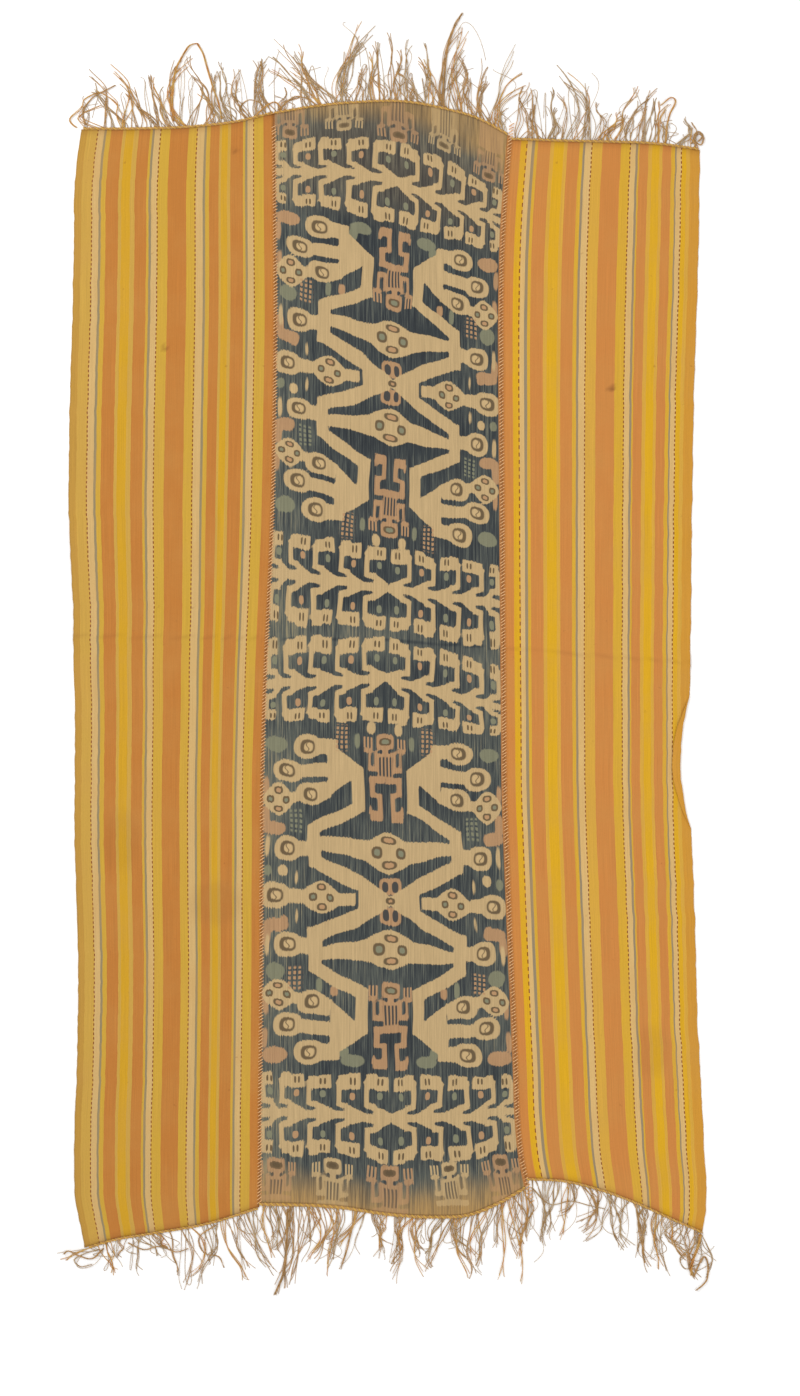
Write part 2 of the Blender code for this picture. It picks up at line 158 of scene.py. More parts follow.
# Loops and tangled yarns that show singly: their course in cloth millimetres
Tangle = namedtuple("Tangle", "end yarns tone across along")
TANGLES = (
    Tangle("top_left", 5, 1, (-376, -378, -372, -350, -334), (944, 990, 1035, 1075, 1082)),
    Tangle("top_left", 4, 1, (-334, -322, -308, -296, -290), (1082, 1060, 1010, 975, 948)),
    Tangle("top_left", 3, 0, (-532, -536, -520, -494, -478), (938, 960, 985, 1000, 1008)),
    Tangle("top_left", 3, 1, (-232, -214, -196, -186, -206), (952, 970, 978, 964, 956)),
    Tangle("top_left", 2, 0, (-246, -258, -244, -222, -212), (950, 966, 982, 976, 958)),
    Tangle("top_centre", 3, 0, (-190, -178, -160, -140, -122), (964, 976, 988, 984, 972)),
    Tangle("top_centre", 4, 0, (98, 104, 110, 122, 136), (972, 1030, 1080, 1116, 1136)),
    Tangle("top_right", 3, 1, (494, 500, 512, 504, 486), (906, 950, 978, 986, 972)),
    Tangle("top_right", 5, 0, (548, 544, 552, 560, 552), (902, 912, 926, 918, 908)),
    Tangle("top_right", 3, 0, (540, 552, 562, 556, 544), (904, 922, 914, 902, 912)),
    Tangle("bottom_left", 3, 0, (-500, -520, -545, -562, -570), (-1050, -1068, -1062, -1054, -1060)),
    Tangle("bottom_left", 2, 2, (-508, -530, -552, -540, -520), (-1052, -1058, -1070, -1082, -1078)),
    Tangle("bottom_left", 4, 0, (-456, -428, -400, -372, -350), (-1040, -1052, -1046, -1056, -1050)),
    Tangle("bottom_left", 2, 0, (-300, -330, -322, -296, -286), (-1008, -1030, -1058, -1064, -1084)),
    Tangle("bottom_centre", 5, 0, (-174, -176, -180, -190, -196), (-980, -1040, -1090, -1116, -1132)),
    Tangle("bottom_centre", 2, 0, (246, 262, 250, 236, 244), (-956, -978, -1000, -1016, -1042)),
    Tangle("bottom_right", 11, 1, (556, 553, 545, 540, 541), (-1024, -1044, -1064, -1082, -1098)),
    Tangle("bottom_right", 4, 0, (544, 562, 570, 566, 548), (-1100, -1064, -1082, -1108, -1124)),
    Tangle("bottom_right", 2, 2, (560, 540, 520, 530, 552), (-1026, -1050, -1068, -1086, -1078)),
    Tangle("bottom_right", 2, 2, (258, 290, 326, 360, 388), (-942, -972, -966, -974, -980)),
)

# One row for each lock of fringe: where it starts on the edge, how wide its roots are,
# how far it reaches out, how far its tip leans and its middle bows sideways
Lock = namedtuple("Lock", "root spread reach lean bow strands")
LOCKS = {
    "top_left": (
        Lock(-520, 26, 67, 12, -24, 2), Lock(-478, 34, 102, -34, 9, 4),
        Lock(-430, 40, 117, -25, 6, 5), Lock(-387, 18, 108, -28, 3, 3),
        Lock(-363, 18, 133, 11, -20, 3), Lock(-322, 40, 127, -13, 14, 4),
        Lock(-285, 26, 95, -7, -10, 3), Lock(-255, 24, 108, -20, -10, 3),
        Lock(-217, 26, 118, -12, -8, 4),
    ),
    "top_centre": (
        Lock(-177, 18, 48, 9, -5, 2), Lock(-131, 18, 124, -74, 9, 3),
        Lock(-104, 24, 106, -54, -2, 4), Lock(-78, 16, 154, 40, -12, 4),
        Lock(-52, 16, 68, 10, 0, 2), Lock(-18, 24, 116, -9, 0, 4),
        Lock(12, 16, 122, 2, 1, 3), Lock(33, 10, 115, 8, -2, 2),
        Lock(55, 16, 48, -10, 0, 3), Lock(79, 18, 110, -12, 6, 3),
        Lock(114, 26, 171, 26, -17, 5), Lock(148, 22, 104, -12, 0, 3),
        Lock(172, 16, 110, 8, -14, 3), Lock(191, 14, 140, 50, -14, 3),
        Lock(206, 9, 45, 4, 0, 2),
    ),
    "top_right": (
        Lock(245, 22, 101, 0, 4, 3), Lock(274, 14, 100, -14, -3, 2),
        Lock(298, 20, 100, 2, 4, 3), Lock(338, 20, 139, -24, 22, 3),
        Lock(366, 12, 104, -4, 8, 2), Lock(387, 18, 52, 34, -6, 3),
        Lock(424, 22, 97, 34, -4, 4), Lock(464, 22, 107, 14, -2, 4),
        Lock(490, 14, 76, 18, -6, 2), Lock(530, 30, 50, 6, 8, 4),
    ),
    "bottom_left": (
        Lock(-517, 8, 26, -56, 2, 1), Lock(-500, 22, 58, 22, -2, 2),
        Lock(-466, 20, 34, -12, 0, 1), Lock(-444, 12, 70, 8, -4, 1),
        Lock(-420, 28, 38, 28, -2, 3), Lock(-388, 16, 84, 26, -4, 1),
        Lock(-350, 26, 118, 2, 12, 2), Lock(-310, 18, 120, -14, 12, 2),
        Lock(-275, 28, 122, 36, -4, 3), Lock(-240, 18, 112, 36, -10, 2),
    ),
    "bottom_centre": (
        Lock(-208, 14, 100, 10, 0, 3), Lock(-168, 36, 163, -14, 8, 6),
        Lock(-121, 30, 114, -12, 14, 4), Lock(-86, 12, 126, -16, 0, 2),
        Lock(-50, 20, 122, -36, 6, 3), Lock(-12, 18, 88, 2, -5, 3),
        Lock(32, 20, 126, -14, -2, 4), Lock(62, 20, 112, 0, -6, 3),
        Lock(104, 18, 102, -24, -4, 3), Lock(132, 18, 116, 6, -10, 3),
        Lock(172, 28, 122, -12, -5, 4), Lock(206, 12, 136, -3, -6, 2),
        Lock(230, 18, 160, 9, -2, 4),
    ),
    "bottom_right": (
        Lock(260, 12, 112, -2, 3, 2), Lock(296, 20, 123, -20, -2, 3),
        Lock(327, 10, 104, -20, 14, 2), Lock(366, 32, 104, -20, 20, 4),
        Lock(412, 22, 104, 14, -6, 3), Lock(446, 12, 122, -2, 4, 3),
        Lock(478, 24, 112, 8, -12, 4), Lock(512, 22, 82, 12, -12, 3),
        Lock(539, 14, 96, 14, -8, 2), Lock(554, 5, 88, 8, 8, 1),
    ),
}

# Stripes of each side panel from its left side to its right, as colour and width
Stripe = namedtuple("Stripe", "colour width")
STRIPES = {
    "left": (
        Stripe("selvedge", 11.9), Stripe("ochre", 19.6), Stripe("cream", 10.9),
        Stripe("grey", 5.1), Stripe("yellow", 7.4), Stripe("orange", 23.0),
        Stripe("ochre", 5.8), Stripe("bright", 14.6), Stripe("ochre", 9.4),
        Stripe("orange", 20.4), Stripe("yellow", 4.1), Stripe("grey", 4.1),
        Stripe("cream", 12.2), Stripe("yellow", 17.5), Stripe("orange", 34.0),
        Stripe("yellow", 16.3), Stripe("cream", 12.4), Stripe("grey", 5.1),
        Stripe("yellow", 6.2), Stripe("orange", 16.8), Stripe("ochre", 4.8),
        Stripe("bright", 10.6), Stripe("ochre", 5.6), Stripe("orange", 23.0),
        Stripe("yellow", 4.8), Stripe("grey", 4.4), Stripe("cream", 11.2),
        Stripe("yellow", 17.5), Stripe("orange", 20.4),
    ),
    "right": (
        Stripe("orange", 19.8), Stripe("bright", 11.3), Stripe("cream", 9.1),
        Stripe("grey", 4.8), Stripe("yellow", 6.2), Stripe("orange", 21.9),
        Stripe("ochre", 6.8), Stripe("bright", 18.2), Stripe("ochre", 6.6),
        Stripe("orange", 21.6), Stripe("yellow", 6.9), Stripe("grey", 4.1),
        Stripe("cream", 12.0), Stripe("ochre", 18.8), Stripe("orange", 33.8),
        Stripe("yellow", 17.0), Stripe("cream", 10.1), Stripe("grey", 3.7),
        Stripe("yellow", 2.1), Stripe("orange", 16.8), Stripe("ochre", 6.2),
        Stripe("bright", 13.5), Stripe("ochre", 5.1), Stripe("orange", 17.0),
        Stripe("yellow", 6.0), Stripe("grey", 3.0), Stripe("cream", 9.6),
        Stripe("bright", 8.6), Stripe("ochre", 6.6), Stripe("selvedge", 17.9),
    ),
}
# Boundaries that carry a line of dark float stitches, counted in stripes from the left
DOTTED_AFTER = {"left": (2, 13, 16, 27), "right": (2, 13, 16, 27)}
# The line nearest the right seam has longer floats
LONG_FLOATS = {"left": 0, "right": 2}
LONG_FLOAT_PITCH = 13.0

# The ikat chart: its step, its half width, and where its main lines fall
CHART_STEP = 1.77
CHART_HALF_WIDTH = 123.0
BLOCK_CENTRE = 250.0
TREE_LINES = (45.0, 449.5)

# How the chart lies on the cloth: the axis, the chart row, and how far a row sinks for
# each millimetre away from the axis, to the left and to the right
Guide = namedtuple("Guide", "along axis chart left_sink right_sink")
GUIDES = (
    Guide(-991, 8.9, -537.0, -0.075, -0.04),
    Guide(-822, 8.9, -449.5, -0.06, -0.04),
    Guide(-702, 8.9, -387.0, -0.02, 0.02),
    Guide(-436, 8.9, -250.0, -0.055, 0.06),
    Guide(-159, -1.4, -106.0, -0.05, 0.06),
    Guide(-41, 0.0, -45.0, 0.05, 0.26),
    Guide(117, 4.4, 45.0, -0.14, 0.135),
    Guide(235, 6.2, 111.0, -0.17, 0.18),
    Guide(480, 10.6, 250.0, -0.2, 0.22),
    Guide(724, 16.8, 388.0, -0.23, 0.24),
    Guide(834, 21.2, 449.5, -0.107, 0.365),
    Guide(924, 21.2, 500.0, -0.02, 0.45),
    Guide(973, 20.0, 528.0, -0.02, 0.48),
)

# Places where the weft bows up between its axis and its edges
Bow = namedtuple("Bow", "across along half_across half_along rise")
BOWS = (
    Bow(-60, 862, 112, 128, 12.5),
    Bow(92, 884, 84, 84, 8.5),
    Bow(-95, -880, 110, 110, 8),
    Bow(215, -860, 80, 110, 11),
)

# Straight-ended bars and rounded lozenges of a motif. "out" is the distance from the
# axis, "off" the distance from the motif's own middle row
Bar = namedtuple("Bar", "out off to_out to_off width to_width")
Oval = namedtuple("Oval", "out off half_out half_off squareness")
BLOCK_BARS = (
    Bar(0, 0, 31, 0, 8, 31),
    Bar(5, 3, 34, 17, 8, 14.5),
    Bar(33, 16.5, 71, 33, 14.5, 13.5),
    Bar(72.5, 27, 72.5, 66, 13, 12.5),
    Bar(76, 44, 90, 43, 13, 15),
    Bar(76, 60, 24, 86.5, 12, 11.5),
    Bar(28, 80, 28, 121, 12, 12),
    Bar(22.5, 119.5, 58, 118.5, 3, 54),
    Bar(48, 139, 70, 139.5, 14, 16),
    Bar(48, 118.5, 86, 114.5, 13.5, 12),
    Bar(57, 99, 70, 94.5, 15, 20),
    Bar(86, 90, 97, 88, 9, 11),
    Bar(34, 0, 50, 0, 12, 12),
    Bar(84, 0, 100, 0, 12, 14),
    Bar(16, 45, 67, 49.5, 22, 10.5),
)
BLOCK_OVALS = (
    Oval(78, 139, 14.5, 12, 2.2),
    Oval(97.5, 113.5, 14.5, 11, 2.4),
    Oval(76, 93.5, 13.5, 10.5, 2.4),
    Oval(107, 87, 15.5, 14.5, 1.5),
    Oval(66, 0, 21, 15, 1.4),
    Oval(110, 0, 13.5, 11.5, 2.6),
    Oval(98, 43, 13, 11, 2.6),
    Oval(0, 44, 33, 19, 1.3),
)

# Hooked branches of the tree bands: distance of each stem from the axis
STEMS = (22.8, 49.5, 77.0, 102.6, 120.8)
TREE_REACH = 33.5

# The small figures, from the middle of the head towards the feet
FIGURE_HEAD = (Oval(0, 0, 8.8, 7.4, 6.0),)
FIGURE_UPPER = (
    Bar(0, 5, 0, 12, 6.5, 6.5),
    Bar(0, 11, 0, 33, 15, 15),
    Bar(0, 12.5, 10.5, 12.5, 3.6, 3.6),
    Bar(9.2, 8.5, 9.2, 27, 3.2, 3.2),
    Bar(7.8, 25.5, 17.4, 25.5, 5, 5),
    Bar(15.8, 27, 15.8, 9, 2.8, 2.8),
    Bar(12.6, 8, 21.6, 8, 4.4, 4.4),
    Bar(0, 35.5, 16.8, 35.5, 6, 6),
)
FIGURE_LOWER = (
    Bar(13.8, 34, 13.8, 52, 5.4, 5.4),
    Bar(16.4, 50, 4.2, 50, 4.4, 4.4),
    Bar(6.4, 49, 6.4, 73, 4.6, 4.6),
    Bar(4.2, 68.5, 17, 68.5, 8.5, 9.5),
    Bar(16.2, 60, 16.2, 68, 2.4, 4),
)
FIGURE_HEADS = (103.5, 331.0)
EndFigure = namedtuple("EndFigure", "end out row scale colour")
END_FIGURES = (
    EndFigure(1, -107.5, 498, 0.88, "rust"), EndFigure(1, -53.5, 503.5, 0.88, "cream"),
    EndFigure(1, 1, 498, 1.0, "rust"), EndFigure(1, 52.5, 504, 0.86, "cream"),
    EndFigure(1, 105.5, 498, 0.86, "rust"),
    EndFigure(-1, -108, 499, 0.86, "rust"), EndFigure(-1, -55, 500, 0.88, "cream"),
    EndFigure(-1, -1, 499, 1.0, "rust"), EndFigure(-1, 55, 497, 0.86, "cream"),
    EndFigure(-1, 105, 497, 0.84, "rust"),
)

# Fillers between the motifs, by their place in the whole chart
Filler = namedtuple("Filler", "colour out row half_out half_row squareness")
FILLERS = (
    Filler("rust", 110, 276, 12, 6, 2.4), Filler("rust", 119, 286, 4, 9, 3.0),
    Filler("rust", 112, 190, 11, 6, 2.4), Filler("rust", 119, 179, 4, 9, 3.0),
    Filler("rust", 110, 392, 12, 8, 2.0), Filler("rust", 120, 376, 3, 10, 3.0),
    Filler("rust", 119, 152, 2.6, 9, 4.0), Filler("rust", 119, 345, 2.6, 9, 4.0),
    Filler("cream", 118, 206, 2.2, 9, 4.0), Filler("cream", 118, 294, 2.2, 9, 4.0),
    Filler("teal", 110, 111, 11, 8, 2.0), Filler("teal", 110, 316, 9, 8, 2.0),
    Filler("teal", 36, 396.5, 11, 6, 2.2), Filler("teal", 44, 388, 4.5, 6, 2.4),
    Filler("rust", 54, 332, 3.4, 5, 4.0), Filler("teal", 68, 328, 3, 6.5, 4.0),
    Filler("cream", 103, 227, 4.5, 5, 2.4), Filler("teal", 117, 229, 4, 5, 2.4),
    Filler("rust", 103, 272, 4, 4, 2.4),
    Filler("cream", 14, 91, 4.4, 6, 2.4), Filler("teal", 28, 104, 2.8, 7, 4.0),
    Filler("cream", 90, 267, 1.6, 6, 3.0), Filler("cream", 90, 233, 1.6, 6, 3.0),
)

# Fine marks drawn inside the motifs. A mark is a rounded ring with a hole share, may be
# doubled sideways by twin, or be cut into upright bars of one pitch, which a hole share
# cuts once more into dots
Mark = namedtuple("Mark", "out off half_out half_off hole twin pitch ring core")
TINTS = ("indigo", "teal", "rust", "motif_cream", "umber")
EYE = -1.0
BLOCK_MARKS = (
    Mark(78, 139, 7.6, 7.0, 0.58, 0, EYE, "umber", "motif_cream"),
    Mark(98, 113.5, 7.8, 6.8, 0.58, 0, EYE, "umber", "motif_cream"),
    Mark(75, 93, 7.2, 6.4, 0.58, 0, EYE, "umber", "motif_cream"),
    Mark(98, 43, 7.6, 6.4, 0.58, 0, EYE, "umber", "motif_cream"),
    Mark(110, 0, 7.6, 6.4, 0.58, 0, EYE, "umber", "motif_cream"),
    Mark(107, 95, 4.6, 3.1, 0.55, 0, 0, "umber", "rust"),
    Mark(107, 79, 4.6, 3.1, 0.55, 0, 0, "umber", "rust"),
    Mark(107, 87, 3.6, 3.4, 0.5, 8, 0, "umber", "teal"),
    Mark(66, 8.8, 5, 3.4, 0.55, 0, 0, "umber", "rust"),
    Mark(66, 0, 3.8, 3.6, 0.5, 8.4, 0, "umber", "teal"),
    Mark(0, 55, 7.6, 3.8, 0.6, 0, 0, "umber", "rust"),
    Mark(0, 33.5, 7.6, 3.8, 0.6, 0, 0, "umber", "rust"),
    Mark(0, 44, 5.4, 5.4, 0.55, 12, 0, "umber", "teal"),
    Mark(0, 0, 5, 3, 0.4, 0, 0, "umber", "rust"),
    Mark(0, 12.8, 3.2, 5.2, 0.0, 5, 0, "indigo", "indigo"),
)
FIGURE_MARKS = (
    Mark(0, 0, 6.2, 3.6, 0.6, 0, 0, "umber", "teal"),
    Mark(0, 9.3, 1.3, 2.0, 0, 4.2, 0, "indigo", "indigo"),
    Mark(0, 23, 5.2, 8.6, 0, 1.75, 3.5, "indigo", "indigo"),
    Mark(17.1, 1.2, 4.9, 5.0, 0, 0, 3.5, "rust", "rust"),
)
ROSETTES = (
    Mark(92, 72, 7.8, 9.8, 0.5, 0, 4.6, "rust", "rust"),
    Mark(90, -68, 7.4, 9.8, 0.5, 0, 4.6, "teal", "teal"),
    Mark(44, -149, 7.8, 12.8, 0.5, 0, 4.6, "rust", "rust"),
)

# Stains and snags that show on the striped panels
Stain = namedtuple("Stain", "across along half_across half_along strength")
STAINS = (
    Stain(399, 471, 8, 7, 0.75),
    Stain(-268, 893, 9, 5, 0.5),
    Stain(-390, 540, 7, 5, 0.5),
    Stain(-396, 546, 4, 4, 0.5),
    Stain(490, 26, 4, 3, 0.5),
    Stain(-300, -440, 60, 50, 0.14),
    Stain(-470, -330, 45, 70, 0.12),
    Stain(470, -700, 40, 60, 0.12),
    Stain(208, 404, 4, 5, 0.7),
)

# Seams, stitches and yarns
SEAM_ROWS = (-968.0, 940.0)
STITCH_POINTS = 5
TWINE_POINTS_A_TURN = 8
YARN_SECTIONS = 17
LOCK_GATHERED_AT = 0.62

Panel = namedtuple("Panel", "side left_line right_line columns rows")
PANELS = (
    Panel("left", "left_selvedge", "left_seam", 60, 300),
    Panel("centre", "left_seam", "right_seam", 106, 455),
    Panel("right", "right_seam", "right_selvedge", 62, 300),
)

# Floor, light and camera, in metres and watts
FLOOR_HALF_WIDTH = 6.0
WORLD_STRENGTH = 0.72
Lamp = namedtuple("Lamp", "name place power size")
LAMPS = (
    Lamp("key_light", (-2.4, 1.6, 3.4), 95.0, 2.6),
    Lamp("fill_light", (2.6, -1.8, 3.6), 55.0, 3.0),
)
CAMERA_HEIGHT = 4.6
FRAME_LENGTH = 2.471
FRAME_MIDDLE = (0.0268, -0.0774)
SENSOR = 36.0


def linear(hex_code):
    """The linear colour of an sRGB hex value."""
    values = (int(hex_code[place:place + 2], 16) / 255 for place in (1, 3, 5))
    return tuple(v / 12.92 if v <= 0.04045 else ((v + 0.055) / 1.055) ** 2.4 for v in values)


def colour_setting(name, description, hex_code):
    """A colour that the user can change."""
    return FloatVectorProperty(
        name=name, description=description, subtype="COLOR", size=3, min=0, max=1,
        default=linear(hex_code),
    )


def millimetres(name, description, default):
    """A length that the user can change, in millimetres."""
    return FloatProperty(name=name, description=description, default=default, min=0.05, unit="NONE")


def smooth_value(places, values, place):
    """A smooth curve through a table's points, run on straight past its ends."""
    places = np.asarray(places, float)
    values = np.asarray(values, float)
    slopes = np.gradient(values, places)
    held = np.clip(place, places[0], places[-1])
    first = np.clip(np.searchsorted(places, held) - 1, 0, len(places) - 2)
    length = places[first + 1] - places[first]
    share = (held - places[first]) / length
    ease = share * share * (3.0 - 2.0 * share)
    leaving = slopes[first] * length * share * (1.0 - share) ** 2
    arriving = slopes[first + 1] * length * (1.0 - share) * share ** 2
    curve = values[first] * (1.0 - ease) + values[first + 1] * ease + leaving - arriving
    return curve + (place - held) * np.where(place < held, slopes[0], slopes[-1])


def eased(value, low, high):
    """0 below low, 1 above high, eased in between."""
    share = np.clip((value - low) / (high - low), 0.0, 1.0)
    return share * share * (3.0 - 2.0 * share)


def ripple(across, along, size, seed):
    """Soft unevenness from -1 to 1, with bumps of about this size."""
    draw = np.random.default_rng(seed)
    total = 0.0
    waves = 7
    for wave in range(waves):
        turn = draw.uniform(0.0, math.pi)
        length = size * draw.uniform(0.7, 1.8)
        run = across * math.cos(turn) + along * math.sin(turn)
        total = total + np.sin(run * 2.0 * math.pi / length + draw.uniform(0.0, 2.0 * math.pi))
    return total / math.sqrt(waves * 2.0)


def on_outline(line, along):
    """How far across the cloth a selvedge or seam lies at places along it."""
    return smooth_value([row.along for row in OUTLINE], [getattr(row, line) for row in OUTLINE], along)


def side_of(line, along):
    """A side line with the small unevenness of a hand-woven selvedge."""
    place = on_outline(line, along)
    if line.endswith("selvedge"):
        seed = len(line)
        return place + 0.8 * ripple(0.0, along, 34.0, seed) + 0.3 * ripple(0.0, along, 11.0, seed + 1)
    return place


def end_line(end, side, across):
    """How far along the cloth an end of a panel reaches, at places across it."""
    points = ENDS[f"{end}_{side}"]
    return smooth_value([point.across for point in points], [point.along for point in points], across)


def lift(across, along):
    """How far the underside of the cloth is off the surface."""
    height = 0.0
    for swell in SWELLS:
        side = (across - swell.across) / swell.half_across
        length = (along - swell.along) / swell.half_along
        height = height + swell.height * np.maximum(1.0 - side * side - length * length, 0.0) ** 2
    off_crease = np.abs(along - np.interp(across, CREASE_ACROSS, CREASE_ALONG)) / CREASE_HALF_WIDTH
    height = height + CREASE_HEIGHT * np.maximum(1.0 - off_crease, 0.0) ** 1.5
    fine = 0.28 * ripple(across, along, 90.0, 5) + 0.12 * ripple(across, along, 26.0, 6)
    return height + 0.4 + fine


def model(across, along, height):
    """Points of the model in metres, from millimetres on the cloth."""
    placed = (across - MIDDLE_ACROSS, along - MIDDLE_ALONG, height + np.zeros_like(across))
    return np.stack(placed, axis=-1) * MM


def node_adder(material):
    """A function that adds one node with its settings and links, and gives an output."""
    tree = material.node_tree

    def add(kind, *values, named=None, out=0, stops=None, blend="LINEAR", **settings):
        node = tree.nodes.new("ShaderNode" + kind)
        for name, value in settings.items():
            setattr(node, name, value)
        for socket, value in [*enumerate(values), *(named or {}).items()]:
            if isinstance(value, bpy.types.NodeSocket):
                tree.links.new(value, node.inputs[socket])
            elif value is not None:
                node.inputs[socket].default_value = value
        if stops:
            ramp = node.color_ramp
            ramp.interpolation = blend
            while len(ramp.elements) < len(stops):
                ramp.elements.new(1.0)
            for element, (place, colour) in zip(ramp.elements, stops):
                element.position = place
                element.color = (*colour, 1.0)
        return node.outputs[out]

    return add


def new_material(name, roughness, sheen):
    """A matt fibre material with its shader, ready for a colour and a bump."""
    material = bpy.data.materials.new(name)
    material.use_nodes = True
    shader = material.node_tree.nodes["Principled BSDF"]
    shader.inputs["Roughness"].default_value = roughness
    shader.inputs["Specular IOR Level"].default_value = 0.25
    shader.inputs["Sheen Weight"].default_value = sheen
    shader.inputs["Sheen Roughness"].default_value = 0.6
    return material, shader


def finish_material(material, shader, colour, bump):
    """Feeds the colour and the bump to the shader."""
    material.node_tree.links.new(colour, shader.inputs["Base Color"])
    material.node_tree.links.new(bump, shader.inputs["Normal"])
    return material


def opaque(colour):
    """A colour with full alpha, as colour sockets take it."""
    return (*colour, 1.0)


def weave_bump(add, across, along, pitch):
    """Bump of a warp-faced weave: upright ribs of warp, faint rows of weft."""
    # The real ribs are about 0.5 mm apart. They are drawn coarser, so that they show
    turns = 2.0 * math.pi / (pitch * MM)
    warp = add("Math", add("Math", across, turns, operation="MULTIPLY"), operation="SINE")
    weft = add("Math", add("Math", along, turns / WEFT_TO_WARP, operation="MULTIPLY"), operation="SINE")
    both = add("Math", warp, add("Math", weft, 0.5, operation="MULTIPLY"), operation="ADD")
    place = add("CombineXYZ", across, along, 0.0)
    slub = add("TexNoise", named={"Vector": place, "Scale": 260.0, "Detail": 3.0})
    height = add("Math", both, add("Math", slub, 3.0, operation="MULTIPLY"), operation="ADD")
    return add("Bump", named={"Strength": 0.35, "Distance": 0.00025, "Height": height})


def striped_cotton(side, settings):
    """Warp-striped hand-woven cotton: matt, soft and slightly uneven from thread to thread.

    Commercially dyed yarns give the clear yellows and oranges, and age and dust give the
    mottling, the small stains and the browner ends.
    """
    material, shader = new_material(f"striped_cotton_{side}", 0.85, 0.04)
    add = node_adder(material)
    cloth = add("UVMap", uv_map="cloth")
    across = add("SeparateXYZ", cloth, out=0)
    along = add("SeparateXYZ", cloth, out=1)
    stretched = add("VectorMath", cloth, (900.0, 7.0, 0.0), operation="MULTIPLY")
    threads = add("TexNoise", named={"Vector": stretched, "Scale": 1.0, "Detail": 2.0})
    wander = add("Math", add("Math", threads, 0.5, operation="SUBTRACT"), 0.0016, operation="MULTIPLY")
    total = sum(stripe.width for stripe in STRIPES[side]) * MM
    place = add("Math", add("Math", across, wander, operation="ADD"), total, operation="DIVIDE")
    stops = []
    reached = 0.0
    edges = []
    for stripe in STRIPES[side]:
        name = f"{stripe.colour}_right" if side == "right" else stripe.colour
        stops.append((reached / total * MM, tuple(getattr(settings, name))))
        reached += stripe.width
        edges.append(reached)
    base = add("ValToRGB", place, stops=stops, blend="CONSTANT")
    dotted = 0.0
    for order in DOTTED_AFTER[side]:
        off = add("Math", across, edges[order - 1] * MM, operation="SUBTRACT")
        on_line = add("Math", add("Math", off, operation="ABSOLUTE"), 1.0 * MM, operation="LESS_THAN")
        pitch = LONG_FLOAT_PITCH if order == LONG_FLOATS[side] else settings.dash_pitch
        dash = add("Math", add("Math", along, 1.0 / (pitch * MM), operation="MULTIPLY"), operation="FRACT")
        dash = add("Math", dash, 0.55, operation="LESS_THAN")
        dotted = add("Math", add("Math", on_line, dash, operation="MULTIPLY"), dotted, operation="MAXIMUM")
    colour = add("Mix", dotted, named={6: base, 7: opaque(settings.dash)}, data_type="RGBA", out=2)
    # Thread to thread: lighter and darker warp ends
    tone = add("MapRange", threads, 0.25, 0.75, 0.9, 1.1)
    colour = add("VectorMath", colour, named={3: tone}, operation="SCALE")
    # Dust and fading in soft patches
    patches = add("TexNoise", named={"Vector": cloth, "Scale": 9.0, "Detail": 4.0, "Roughness": 0.6})
    worn = add("MapRange", patches, 0.42, 0.7, 0.0, 0.24)
    colour = add("Mix", worn, named={6: colour, 7: opaque(settings.faded)}, data_type="RGBA", out=2)
    # Small brown specks and a few larger marks
    specks = add("TexNoise", named={"Vector": cloth, "Scale": 75.0, "Detail": 2.0})
    speck = add("MapRange", specks, 0.72, 0.8, 0.0, 0.35)
    colour = add("Mix", speck, named={6: colour, 7: opaque(settings.stain_and_shade)}, data_type="RGBA", out=2)
    # Soiling and marks from the mesh, together with painted shade along the crease and the seams, all in the
    # stain colour
    wear = add("Attribute", attribute_name="wear", out=1)
    soil_and_shade = add("SeparateXYZ", wear, out=0)
    colour = add("Mix", soil_and_shade, named={6: colour, 7: opaque(settings.stain_and_shade)}, data_type="RGBA", out=2)
    bump = weave_bump(add, across, along, settings.thread_pitch)
    return finish_material(material, shader, colour, bump)


